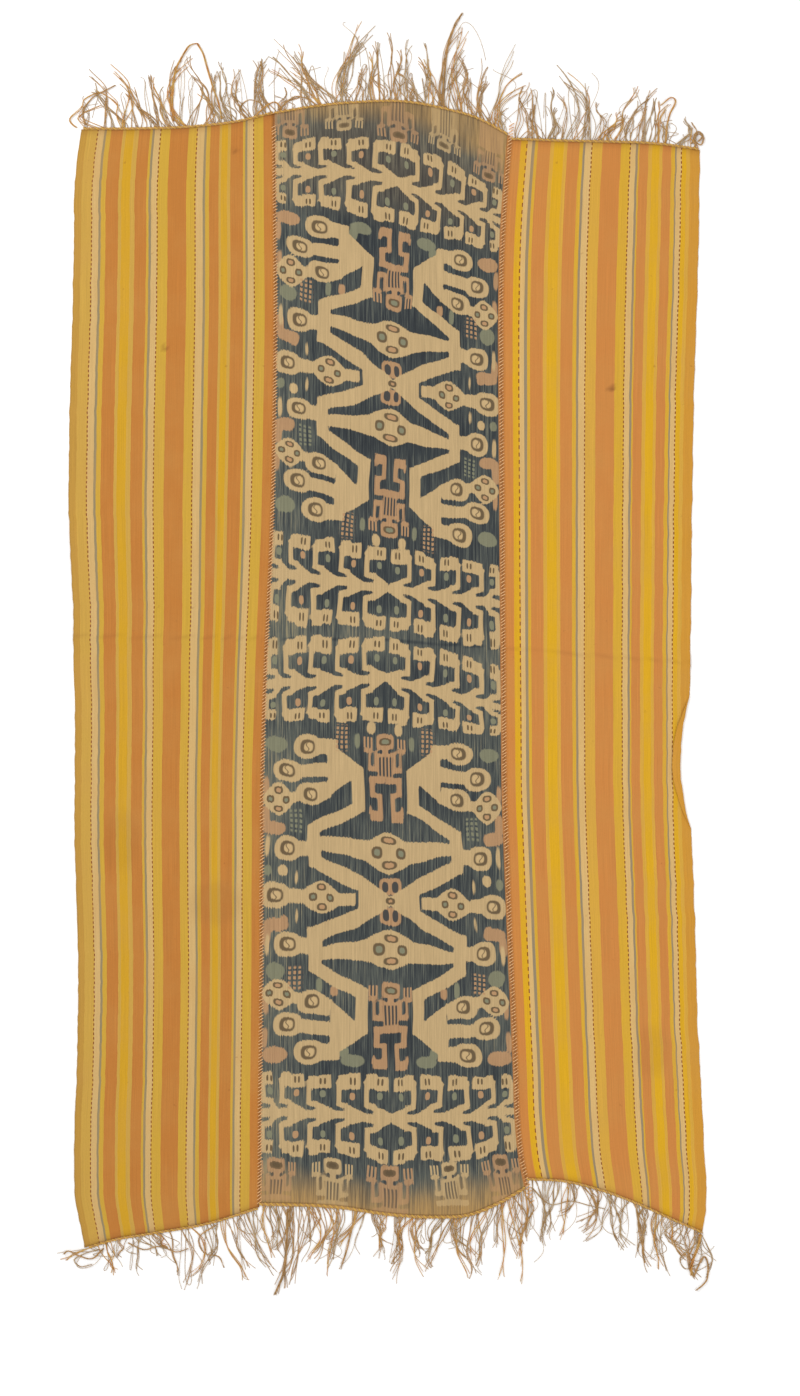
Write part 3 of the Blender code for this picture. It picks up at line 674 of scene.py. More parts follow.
def ikat_cotton(settings):
    """Warp-ikat cotton: the warp was tied and dyed in indigo before weaving.

    Each bundle of threads lies a little up or down from its neighbour, which feathers
    every crosswise edge, and the vat dye is uneven from thread to thread.
    """
    material, shader = new_material("ikat_cotton", 0.88, 0.02)
    add = node_adder(material)
    cloth = add("UVMap", uv_map="cloth")
    across = add("SeparateXYZ", cloth, out=0)
    along = add("SeparateXYZ", cloth, out=1)
    # Bundles drawn at 1.9 mm, coarser than the real 0.4 mm threads, so that they show
    bundle = add("Math", across, 1.0 / (settings.bundle * MM), operation="MULTIPLY")
    bundle = add("Math", bundle, operation="FLOOR")
    lot = add("TexWhiteNoise", named={"W": bundle}, noise_dimensions="1D")
    wear = add("Attribute", attribute_name="wear", out=1)
    # How faded the ground is, lowered along the crease as painted shade
    fade_and_shade = add("SeparateXYZ", wear, out=1)
    stretched = add("VectorMath", cloth, (520.0, 14.0, 0.0), operation="MULTIPLY")
    streak = add("TexNoise", named={"Vector": stretched, "Scale": 1.0, "Detail": 3.0, "Roughness": 0.6})
    shift = add("Math", add("Math", lot, 0.5, operation="SUBTRACT"), settings.feather, operation="MULTIPLY")
    sway = add("Math", streak, 0.5, operation="SUBTRACT")
    sway = add("Math", sway, 2.0 * settings.feather, operation="MULTIPLY")
    spread = add("MapRange", fade_and_shade, 0.05, 0.6, 0.8, 1.9)
    shift = add("Math", add("Math", shift, sway, operation="ADD"), spread, operation="MULTIPLY")
    depth = add("Attribute", attribute_name="motif_depth", out=1)
    slope = add("Attribute", attribute_name="motif_slope", out=1)
    moved = add("VectorMath", slope, named={3: shift}, operation="SCALE")
    moved = add("VectorMath", moved, depth, operation="ADD")
    # Indigo ground, streaked along the warp
    figures_left = add("SeparateXYZ", wear, out=2)
    deep = add("Math", add("MapRange", streak, 0.34, 0.74, 0.0, 0.72), fade_and_shade, operation="ADD")
    lots = add("MapRange", lot, 0.0, 1.0, -0.08, 0.08)
    deep = add("Math", deep, lots, operation="ADD")
    brown = add("SeparateXYZ", wear, out=0)
    ragged = add("MapRange", streak, 0.32, 0.68, -0.45, 0.45)
    ragged = add("Math", ragged, brown, operation="MULTIPLY")
    brown = add("Math", brown, ragged, operation="ADD", use_clamp=True)
    ground = add("ValToRGB", deep, stops=[
        (0.0, tuple(settings.indigo_deep)), (0.38, tuple(settings.indigo)),
        (0.75, tuple(settings.indigo_faded)), (1.0, tuple(settings.indigo_grey)),
    ])
    tone = add("MapRange", streak, 0.25, 0.75, 0.8, 1.11)
    tone = add("Math", tone, add("MapRange", lot, 0.0, 1.0, 0.95, 1.03), operation="MULTIPLY")
    browned = add("VectorMath", tuple(settings.end_brown), named={3: tone}, operation="SCALE")
    colour = add("Mix", brown, named={6: ground, 7: browned}, data_type="RGBA", out=2)
    for order, name in ((2, "teal"), (1, "rust"), (0, "motif_cream")):
        layer = add("SeparateXYZ", moved, out=order)
        mask = add("MapRange", layer, -0.7, 0.7, 0.0, 0.97)
        mask = add("Math", mask, figures_left, operation="MULTIPLY")
        tint = add("VectorMath", tuple(getattr(settings, name)), named={3: tone}, operation="SCALE")
        colour = add("Mix", mask, named={6: colour, 7: tint}, data_type="RGBA", out=2)
    # Fine marks inside the motifs
    place = add("Attribute", attribute_name="mark_place", out=1)
    size = add("Attribute", attribute_name="mark_size", out=1)
    look = add("Attribute", attribute_name="mark_look", out=1)
    side = add("Math", add("SeparateXYZ", place, out=0), operation="ABSOLUTE")
    beside = add("Math", side, add("SeparateXYZ", place, out=2), operation="SUBTRACT")
    beside = add("Math", beside, operation="ABSOLUTE")
    up = add("Math", shift, 0.4, operation="MULTIPLY")
    up = add("Math", add("SeparateXYZ", place, out=1), up, operation="ADD")
    width = add("Math", beside, add("SeparateXYZ", size, out=0), operation="DIVIDE")
    height = add("Math", up, operation="ABSOLUTE")
    height = add("Math", height, add("SeparateXYZ", size, out=1), operation="DIVIDE")
    pitch = add("SeparateXYZ", look, out=0)
    barred = add("Math", pitch, 0.1, operation="GREATER_THAN")
    eye = add("Math", pitch, -0.1, operation="LESS_THAN")
    roundness = add("MapRange", barred, 0.0, 1.0, 2.6, 14.0)
    wide = add("Math", width, roundness, operation="POWER")
    both = add("Math", wide, add("Math", height, roundness, operation="POWER"), operation="ADD")
    off = add("Math", both, add("Math", 1.0, roundness, operation="DIVIDE"), operation="POWER")
    ring = add("MapRange", off, 1.08, 0.92, 0.0, 0.94)
    # An eye's ring is thicker on the side away from the axis
    hole = add("SeparateXYZ", size, out=2)
    outward = add("SeparateXYZ", place, out=0)
    outward = add("Math", outward, add("SeparateXYZ", size, out=0), operation="DIVIDE")
    thicker = add("Math", add("Math", outward, 0.22, operation="MULTIPLY"), eye, operation="MULTIPLY")
    inner = add("Math", add("Math", off, thicker, operation="ADD"), hole, operation="SUBTRACT")
    core = add("MapRange", inner, 0.08, -0.08, 0.0, 1.0)
    # Upright bars, and rows across them where a hole share asks for dots
    half_pitch = add("Math", pitch, 0.5, operation="MULTIPLY")
    phase = add("Math", add("SeparateXYZ", place, out=0), add("SeparateXYZ", place, out=2), operation="ADD")
    bars = add("Math", add("Math", phase, half_pitch, operation="PINGPONG"), half_pitch, operation="DIVIDE")
    bars = add("MapRange", bars, 0.62, 0.44, 0.0, 1.0)
    rows = add("Math", add("Math", up, half_pitch, operation="PINGPONG"), half_pitch, operation="DIVIDE")
    rows = add("MapRange", rows, 0.72, 0.5, 0.0, 1.0)
    unrowed = add("Math", hole, 0.1, operation="LESS_THAN")
    rows = add("Math", rows, unrowed, operation="MAXIMUM")
    bars = add("Math", bars, rows, operation="MULTIPLY")
    solid = add("Math", 1.0, barred, operation="SUBTRACT")
    bars = add("Math", add("Math", bars, barred, operation="MULTIPLY"), solid, operation="ADD")
    ring = add("Math", add("Math", ring, bars, operation="MULTIPLY"), figures_left, operation="MULTIPLY")
    core = add("Math", add("Math", core, solid, operation="MULTIPLY"), figures_left, operation="MULTIPLY")
    last = len(TINTS)
    tint_stops = [(order / last, tuple(getattr(settings, name))) for order, name in enumerate(TINTS)]
    ring_tint = add("ValToRGB", add("SeparateXYZ", look, out=1), stops=tint_stops, blend="CONSTANT")
    core_tint = add("ValToRGB", add("SeparateXYZ", look, out=2), stops=tint_stops, blend="CONSTANT")
    colour = add("Mix", ring, named={6: colour, 7: ring_tint}, data_type="RGBA", out=2)
    colour = add("Mix", core, named={6: colour, 7: core_tint}, data_type="RGBA", out=2)
    # The curl in each eye
    turn = add("Math", add("SeparateXYZ", place, out=1), 0.42, operation="MULTIPLY")
    turn = add("Math", turn, operation="SINE")
    curl = add("Math", turn, 2.6, operation="MULTIPLY")
    curl = add("Math", add("SeparateXYZ", place, out=0), curl, operation="SUBTRACT")
    curl = add("MapRange", add("Math", curl, operation="ABSOLUTE"), 1.5, 0.9, 0.0, 0.75)
    curl = add("Math", add("Math", curl, core, operation="MULTIPLY"), eye, operation="MULTIPLY")
    colour = add("Mix", curl, named={6: colour, 7: opaque(settings.umber)}, data_type="RGBA", out=2)
    # A thinner veil of the same brown over the figures
    veil = add("Math", brown, 0.42, operation="MULTIPLY")
    colour = add("Mix", veil, named={6: colour, 7: browned}, data_type="RGBA", out=2)
    # Plain borders beside the seams
    border = add("SeparateXYZ", add("Attribute", attribute_name="border", out=1), out=0)
    bordered = add("MapRange", border, 0.0005, -0.0007, 0.0, 0.94)
    plain = add("VectorMath", tuple(settings.border), named={3: tone}, operation="SCALE")
    colour = add("Mix", bordered, named={6: colour, 7: plain}, data_type="RGBA", out=2)
    bump = weave_bump(add, across, along, settings.thread_pitch)
    return finish_material(material, shader, colour, bump)


def yarn_material(name, tones, scale):
    """Spun cotton yarn, dull and a little hairy, with its dye uneven along the length."""
    material, shader = new_material(name, 0.9, 0.06)
    add = node_adder(material)
    place = add("TexCoord", out=3)
    patches = add("TexNoise", named={"Vector": place, "Scale": scale, "Detail": 2.0})
    spread = add("MapRange", patches, 0.3, 0.7, 0.0, 1.0)
    last = len(tones) - 1
    stops = [(order / last, tuple(tone)) for order, tone in enumerate(tones)]
    colour = add("ValToRGB", spread, stops=stops)
    fibres = add("TexNoise", named={"Vector": place, "Scale": 2600.0, "Detail": 1.0})
    bump = add("Bump", named={"Strength": 0.3, "Distance": 0.0002, "Height": fibres})
    return finish_material(material, shader, colour, bump)


def add_piece(name, mesh, material):
    """One finished piece of the cloth, at the origin, riding on the body."""
    if material:
        mesh.materials.append(material)
    piece = bpy.data.objects.new(name, mesh)
    bpy.context.scene.collection.objects.link(piece)
    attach(piece, BODY)
    return piece


def store(mesh, name, domain, values):
    """Keeps a vector for each point or face corner of a mesh."""
    layer = mesh.attributes.new(name, "FLOAT_VECTOR", domain)
    layer.data.foreach_set("vector", np.ascontiguousarray(values, dtype=np.float32).ravel())


def weaving_lines(panel):
    """Shares of the panel's width where its columns lie, closer at a turned selvedge."""
    shares = np.linspace(0.0, 1.0, panel.columns + 1)
    if panel.side != "right":
        return shares
    width = sum(stripe.width for stripe in STRIPES["right"])
    start = 1.0 - (TURN_DEPTH + TURN_RUN_IN) / width
    wide = np.linspace(0.0, start, panel.columns - TURN_COLUMNS + 1)
    return np.concatenate((wide, np.linspace(start, 1.0, TURN_COLUMNS + 1)[1:]))


def woven_places(panel):
    """Where the panel's rows and columns lie: across, along, and each column's share."""
    shares = weaving_lines(panel)
    ends = []
    for end, outward in (("bottom", -1.0), ("top", 1.0)):
        along = np.full_like(shares, ENDS[f"{end}_{panel.side}"][0].along, dtype=float)
        for settling in range(END_SETTLING_STEPS):
            left = on_outline(panel.left_line, along)
            right = on_outline(panel.right_line, along)
            across = left + shares * (right - left)
            along = end_line(end, panel.side, across) - outward * SHEET_SHORT_OF_END
        ends.append(along)
    rows = np.linspace(0.0, 1.0, panel.rows + 1)[:, None]
    along = ends[0] * (1.0 - rows) + ends[1] * rows
    left = side_of(panel.left_line, along) + SEAM_CLEARANCE * panel.left_line.endswith("seam")
    right = side_of(panel.right_line, along) - SEAM_CLEARANCE * panel.right_line.endswith("seam")
    return left + shares * (right - left), along, shares


def turned_over(across, along, edge):
    """Where the right panel's points go once its selvedge is turned over."""
    off_middle = (along - TURN_MIDDLE) / TURN_HALF_LENGTH
    depth = TURN_DEPTH * np.maximum(1.0 - off_middle * off_middle, 0.0)
    bend = edge - depth
    base = lift(np.minimum(across, bend), along)
    angle = np.clip((across - bend) / TURN_RADIUS, 0.0, math.pi)
    past = np.maximum(across - bend - math.pi * TURN_RADIUS, 0.0)
    turned = np.minimum(across, bend) + TURN_RADIUS * np.sin(angle) - past
    return turned, base + TURN_RADIUS * (1.0 - np.cos(angle))


def lay_sheet(name, panel):
    """One panel as a grid laid on its solid's form, with its weave coordinates."""
    across, along, shares = woven_places(panel)
    rows, columns = across.shape
    sheet = bmesh.new()
    bmesh.ops.create_grid(sheet, x_segments=columns - 1, y_segments=rows - 1, size=0.5)
    mesh = bpy.data.meshes.new(name)
    sheet.to_mesh(mesh)
    sheet.free()
    flat = np.empty(len(mesh.vertices) * 3, np.float32)
    mesh.vertices.foreach_get("co", flat)
    flat = flat.reshape(-1, 3)
    column = np.rint((flat[:, 0] + 0.5) * (columns - 1)).astype(int)
    row = np.rint((flat[:, 1] + 0.5) * (rows - 1)).astype(int)
    placed, height = across, lift(across, along)
    if panel.side == "right":
        placed, height = turned_over(across, along, across[:, -1:])
    points = model(placed, along, height)[row, column]
    mesh.vertices.foreach_set("co", points.astype(np.float32).ravel())
    if panel.side == "centre":
        weave = np.stack((across, along), axis=-1) * MM
    else:
        width = sum(stripe.width for stripe in STRIPES[panel.side])
        weave = np.stack(np.broadcast_arrays(shares * width, along), axis=-1) * MM
    corner = np.empty(len(mesh.loops), np.int32)
    mesh.loops.foreach_get("vertex_index", corner)
    layer = mesh.uv_layers.new(name="cloth")
    layer.data.foreach_set("uv", weave[row, column][corner].astype(np.float32).ravel())
    mesh.shade_smooth()
    return mesh, across, along, row, column, corner


def thicken(piece, settings):
    """Gives a laid sheet its thickness, upwards from its underside."""
    thickness = piece.modifiers.new("cloth_thickness", "SOLIDIFY")
    thickness.thickness = settings.thickness * MM
    thickness.offset = 1.0


def chart_places(across, along):
    """Where points of the middle panel lie in the ikat chart, signed both ways."""
    table = {name: [getattr(guide, name) for guide in GUIDES] for name in Guide._fields}
    axis = smooth_value(table["along"], table["axis"], along)
    off = across - axis
    level = along
    for settling in range(WEFT_SETTLING_STEPS):
        left = smooth_value(table["along"], table["left_sink"], level)
        right = smooth_value(table["along"], table["right_sink"], level)
        level = along + np.where(off < 0.0, left, right) * np.abs(off)
    for bow in BOWS:
        away = ((across - bow.across) / bow.half_across) ** 2 + ((along - bow.along) / bow.half_along) ** 2
        level = level - bow.rise * np.maximum(1.0 - away, 0.0) ** 2
    left_half = axis - on_outline("left_seam", along)
    right_half = on_outline("right_seam", along) - RIGHT_BORDER - axis
    out = off * CHART_HALF_WIDTH / np.where(off < 0.0, left_half, right_half)
    row = np.interp(level, table["along"], table["chart"])
    out = out + 0.9 * ripple(out, row, 34.0, 11)
    row = row + 1.1 * ripple(out, row, 40.0, 12)
    return out, row


def bar_depth(bar, out, off):
    """How deep points lie inside a straight-ended bar, in chart steps."""
    run = np.array((bar.to_out - bar.out, bar.to_off - bar.off), float)
    length = np.hypot(*run)
    run /= length
    ahead = (out - bar.out) * run[0] + (off - bar.off) * run[1]
    aside = (out - bar.out) * -run[1] + (off - bar.off) * run[0]
    half = (bar.width + (bar.to_width - bar.width) * np.clip(ahead / length, 0.0, 1.0)) / 2.0
    return np.minimum(np.minimum(half - np.abs(aside), ahead), length - ahead)


def oval_depth(oval, out, off):
    """How deep points lie inside a rounded lozenge, in chart steps."""
    power = oval.squareness
    wide = np.abs((out - oval.out) / oval.half_out) ** power
    high = np.abs((off - oval.off) / oval.half_off) ** power
    return (1.0 - (wide + high) ** (1.0 / power)) * min(oval.half_out, oval.half_off)


def motif_depth(bars, ovals, out, off):
    """How deep points lie inside a motif made of bars and ovals."""
    depths = [bar_depth(bar, out, off) for bar in bars]
    depths += [oval_depth(oval, out, off) for oval in ovals]
    return np.maximum.reduce(depths)


def tree_motif():
    """The hooked branches along one side of a trunk, which widens up to each of them."""
    bars = [Bar(0, 0, STEMS[-1] + 3, 0, 8.2, 8.2)]
    before = -3.0
    for stem in STEMS:
        bars.append(Bar(before + 3, 0, stem - 6.5, 0, 8.0, 25.5))
        bars.append(Bar(stem - 9, 9.6, stem + 2.4, 11.6, 6.6, 4.6))
        bars.append(Bar(stem, 10, stem, TREE_REACH, 4.8, 4.8))
        tip = 9.5 if stem == STEMS[-1] else 20.3
        bars.append(Bar(stem - tip, TREE_REACH, stem + 0.4, TREE_REACH - 0.6, 14.2, 12.6))
        bars.append(Bar(stem - 4, TREE_REACH - 1.6, stem + 2.4, TREE_REACH - 3.6, 12.0, 6.0))
        before = stem
    return bars


def ikat_layers(out, row):
    """Depth of the cream, rust and teal figures at chart places, in chart steps."""
    side = np.abs(out)
    level = np.abs(row)
    off_block = np.abs(level - BLOCK_CENTRE)
    cream = motif_depth(BLOCK_BARS, BLOCK_OVALS, side, off_block)
    branches = tree_motif()
    for line in TREE_LINES:
        # A branch's head stands a little nearer or farther than its neighbour's
        stagger = 1.0 + 0.035 * np.sin(np.rint(out / 27.0) * 2.3 + np.sign(level - line) * 2.0 + line)
        cream = np.maximum(cream, motif_depth(branches, (), side, np.abs(level - line) * stagger))
    rust = oval_depth(Oval(0, 13.5, 11, 8, 4.0), side, off_block)
    for head in FIGURE_HEADS:
        figure = motif_depth(FIGURE_UPPER + FIGURE_LOWER, FIGURE_HEAD, side, level - head)
        rust = np.maximum(rust, figure)
    layers = {"cream": cream, "rust": rust, "teal": np.full_like(rust, -20.0)}
    for figure in END_FIGURES:
        aside = np.abs(out - figure.out) / figure.scale
        off = (row * figure.end - figure.row) / figure.scale
        depth = figure.scale * motif_depth(FIGURE_UPPER, FIGURE_HEAD, aside, off)
        layers[figure.colour] = np.maximum(layers[figure.colour], depth)
    for filler in FILLERS:
        oval = Oval(filler.out, filler.row, filler.half_out, filler.half_row, filler.squareness)
        layers[filler.colour] = np.maximum(layers[filler.colour], oval_depth(oval, side, level))
    return np.stack((layers["cream"], layers["rust"], layers["teal"]), axis=-1)


def spread_marks():
    """Every fine mark of the chart at its own signed place, with its side and its scale."""
    placed = []

    def put(mark, out, row, scale=1.0):
        for side in (-1.0, 1.0) if mark.out else (1.0,):
            placed.append((mark, out + side * mark.out * scale, row, side, scale))

    # The end figures hold forks of their own colour, and their eyes are dark
    for mark in FIGURE_MARKS:
        for figure in END_FIGURES:
            row = figure.end * (figure.row + mark.off * figure.scale)
            if mark.ring == "rust" and figure.colour == "cream":
                put(mark._replace(ring="motif_cream", core="motif_cream"), figure.out, row, figure.scale)
            elif mark.core == "teal":
                put(mark._replace(core="umber"), figure.out, row, figure.scale)
            else:
                put(mark, figure.out, row, figure.scale)
    for sign in (-1.0, 1.0):
        for mark in BLOCK_MARKS:
            for turn in (-1.0, 1.0) if mark.off else (1.0,):
                put(mark, 0.0, sign * (BLOCK_CENTRE + turn * mark.off))
        for mark in ROSETTES:
            put(mark, 0.0, sign * (BLOCK_CENTRE + mark.off))
        for mark in FIGURE_MARKS:
            for head in FIGURE_HEADS:
                put(mark, 0.0, sign * (head + mark.off))
        for line in TREE_LINES:
            for turn in (-1.0, 1.0):
                for order, stem in enumerate(STEMS):
                    near = 6.5 if order == len(STEMS) - 1 else 13.2
                    tint = ("teal", "rust")[order % 2]
                    square = Mark(stem - near, 0, 2.5, 3.7, 0.0, 0, 0, tint, tint)
                    put(square, 0.0, sign * (line + turn * 20.5))
                    slits = Mark(stem - near, 0, 0.95, 3.3, 0.0, 1.8, 0, "umber", "umber")
                    put(slits, 0.0, sign * (line + turn * (TREE_REACH + 0.5)))
    return placed


def mark_corners(mesh, out, row, corner):
    """Gives each face the nearest fine mark, as that mark's own coordinates."""
    faces = corner.reshape(-1, 4)
    middle_out = out[faces].mean(axis=1)
    middle_row = row[faces].mean(axis=1)
    nearest = np.full(len(faces), 9.0)
    places = np.full((len(faces), 4, 3), (900.0, 900.0, 0.0))
    sizes = np.full((len(faces), 4, 3), (1.0, 1.0, -1.0))
    looks = np.full((len(faces), 4, 3), (0.0, 0.1, 0.1))
    margin = 1.6
    for mark, mark_out, mark_row, side, scale in spread_marks():
        half_out, half_row = mark.half_out * scale, mark.half_off * scale
        wide = np.maximum(np.abs(middle_out - mark_out) - margin, 0.0) / (half_out + mark.twin * scale)
        high = np.maximum(np.abs(middle_row - mark_row) - margin, 0.0) / half_row
        off = np.maximum(wide, high)
        chosen = (off < 1.1) & (off < nearest)
        nearest[chosen] = off[chosen]
        places[chosen, :, 0] = (out[faces[chosen]] - mark_out) * CHART_STEP * side
        places[chosen, :, 1] = (row[faces[chosen]] - mark_row) * CHART_STEP
        places[chosen, :, 2] = mark.twin * scale * CHART_STEP
        sizes[chosen] = (half_out * CHART_STEP, half_row * CHART_STEP, mark.hole or -1.0)
        pitch = mark.pitch * scale * CHART_STEP if mark.pitch > 0 else mark.pitch
        tints = [(TINTS.index(tint) + 0.5) / len(TINTS) for tint in (mark.ring, mark.core)]
        looks[chosen] = (pitch, *tints)
    for name, values in (("mark_place", places), ("mark_size", sizes), ("mark_look", looks)):
        store(mesh, name, "CORNER", values.reshape(-1, 3))


def chart_ikat(mesh, across, along, row, column, corner):
    """Draws the ikat into the middle panel's mesh: motif depths, marks, wear and painted shade along the
    crease.
    """
    out, level = chart_places(across, along)
    depths = ikat_layers(out, level) * CHART_STEP
    slopes = np.gradient(depths, axis=0) / np.gradient(along, axis=0)[..., None]
    store(mesh, "motif_depth", "POINT", depths[row, column])
    store(mesh, "motif_slope", "POINT", slopes[row, column])
    mark_corners(mesh, out[row, column], level[row, column], corner)
    wander = 4.0 * ripple(across, along, 60.0, 21)
    lower = 0.8 * eased(-level + 0.12 * np.abs(out) + wander, 506.0, 548.0)
    upper = 0.6 * eased(level + wander, 497.0, 540.0)
    corner_right = 0.76 * eased(level + 0.30 * out + wander, 526.0, 570.0)
    brown = np.maximum(np.maximum(lower, upper), corner_right)
    brown = np.maximum(brown, 0.07 * eased(level, 390.0, 450.0))
    middle = 1.0 - eased(np.abs(level), 8.0, 32.0)
    fade_and_shade = 0.04 + 0.16 * (ripple(across, along, 150.0, 22) * 0.5 + 0.5) + 0.16 * middle
    fade_and_shade += 0.08 * eased(-level, -60.0, 60.0)
    fade_and_shade += 0.22 * eased(-out, 60.0, 116.0) + 0.1 * eased(out, 80.0, 118.0)
    fade_and_shade += 0.14 * eased(level, 450.0, 510.0) + 0.14 * eased(-level, 470.0, 520.0)
    left = 1.0 - 0.3 * eased(level, 478.0, 512.0) - 0.22 * eased(-level, 480.0, 532.0)
    border = np.minimum(across - across[:, :1] - LEFT_BORDER, across[:, -1:] - across - RIGHT_BORDER)
    store(mesh, "border", "POINT", (border[..., None] * MM + np.zeros(3))[row, column])
    # Painted shade: a thin line along the crease is made less pale, so that the indigo darkens there
    crease_shade = 1.0 - eased(np.abs(along - np.interp(across, CREASE_ACROSS, CREASE_ALONG)), 0.6, 2.4)
    fade_and_shade = fade_and_shade - 0.25 * crease_shade
    wear = np.stack((brown, fade_and_shade, left), axis=-1)
    store(mesh, "wear", "POINT", wear[row, column])


def soil_stripes(mesh, panel, across, along, row, column):
    """Soiling of a side panel at its ends and a few marks from use, with painted shade along the crease and
    the seam.
    """
    ends = np.minimum(along - along[:1], along[-1:] - along)
    soil_and_shade = 0.22 * (1.0 - eased(ends, 2.0, 16.0))
    # Painted shade: a thin dark line along the crease, standing in for its shading
    crease = np.abs(along - np.interp(across, CREASE_ACROSS, CREASE_ALONG))
    soil_and_shade = np.maximum(soil_and_shade, 0.16 * (1.0 - eased(crease, 0.5, 4.0)))
    # Painted shade: a dark line beside the seam, in its groove under the stitches
    seam = across[:, -1:] - across if panel.side == "left" else across - across[:, :1]
    soil_and_shade = np.maximum(soil_and_shade, 0.55 * (1.0 - eased(seam, 0.6, 2.6)))
    for mark in STAINS:
        away = np.hypot((across - mark.across) / mark.half_across, (along - mark.along) / mark.half_along)
        soil_and_shade = np.maximum(soil_and_shade, mark.strength * (1.0 - eased(away, 0.5, 1.0)))
    wear = np.stack((soil_and_shade, np.zeros_like(soil_and_shade), np.zeros_like(soil_and_shade)), axis=-1)
    store(mesh, "wear", "POINT", wear[row, column])


def tubes(name, yarns, sides, materials):
    """Round yarns as one mesh with closed ends: (path of (place, radius), material number)."""
    curve = bpy.data.curves.new(name, "CURVE")
    curve.dimensions = "3D"
    curve.bevel_depth = 1.0
    curve.bevel_resolution = (sides - 4) // 2
    curve.use_fill_caps = True
    for material in materials:
        curve.materials.append(material)
    for path, number in yarns:
        spline = curve.splines.new("POLY")
        spline.material_index = number
        spline.points.add(len(path) - 1)
        for point, (place, radius) in zip(spline.points, path):
            point.co = (*place, 1.0)
            point.radius = radius
    holder = bpy.data.objects.new(name, curve)
    bpy.context.scene.collection.objects.link(holder)
    graph = bpy.context.evaluated_depsgraph_get()
    mesh = bpy.data.meshes.new_from_object(holder.evaluated_get(graph))
    bpy.data.objects.remove(holder)
    bpy.data.curves.remove(curve)
    welded = bmesh.new()
    welded.from_mesh(mesh)
    bmesh.ops.remove_doubles(welded, verts=welded.verts, dist=1e-6)
    bmesh.ops.recalc_face_normals(welded, faces=welded.faces)
    welded.to_mesh(mesh)
    welded.free()
    mesh.name = name
    mesh.shade_smooth()
    return mesh


def overcast(line, settings):
    """Slanting stitches that hold two panels edge to edge, one path for each."""
    draw = np.random.default_rng(len(line))
    paths = []
    along = SEAM_ROWS[0]
    radius = settings.stitch_yarn / 2
    half = settings.stitch_length / 2
    while along < SEAM_ROWS[1]:
        middle = float(on_outline(line, along))
        slant = 2.6 + draw.uniform(-0.6, 0.6)
        path = []
        for share in np.linspace(-1.0, 1.0, STITCH_POINTS):
            across = middle + share * half + draw.uniform(-0.15, 0.15)
            place = along + share * slant
            height = float(lift(across, place)) + settings.thickness
            bulge = radius * (0.9 - 1.5 * share ** 4)
            path.append((model(across, place, height + bulge), radius * MM))
        paths.append((path, 0))
        along += settings.stitch_pitch * draw.uniform(0.86, 1.14)
    return paths


def twined_edge(end, side, settings):
    """Two plies twisted round each other along one end of a panel."""
    points = ENDS[f"{end}_{side}"]
    outward = 1.0 if end == "top" else -1.0
    thick = 1.3 if (end, side) == ("bottom", "centre") else 1.0
    radius = settings.twine_ply / 2 * thick
    width = points[-1].across - points[0].across
    count = int(width / settings.twine_lay * TWINE_POINTS_A_TURN)
    across = np.linspace(points[0].across - 1.0, points[-1].across + 1.0, count)
    along = end_line(end, side, across) - outward * (settings.twine_ply + 1.0)
    middle = settings.thickness * 0.5 + radius * 1.24
    paths = []
    for ply in range(2):
        turn = (across - across[0]) / settings.twine_lay * 2.0 * math.pi + ply * math.pi
        aside = along + radius * 0.95 * np.cos(turn)
        height = np.maximum(middle + radius * 0.95 * np.sin(turn), radius)
        places = model(across, aside, height)
        paths.append(([(place, radius * MM) for place in places], ply))
    return paths


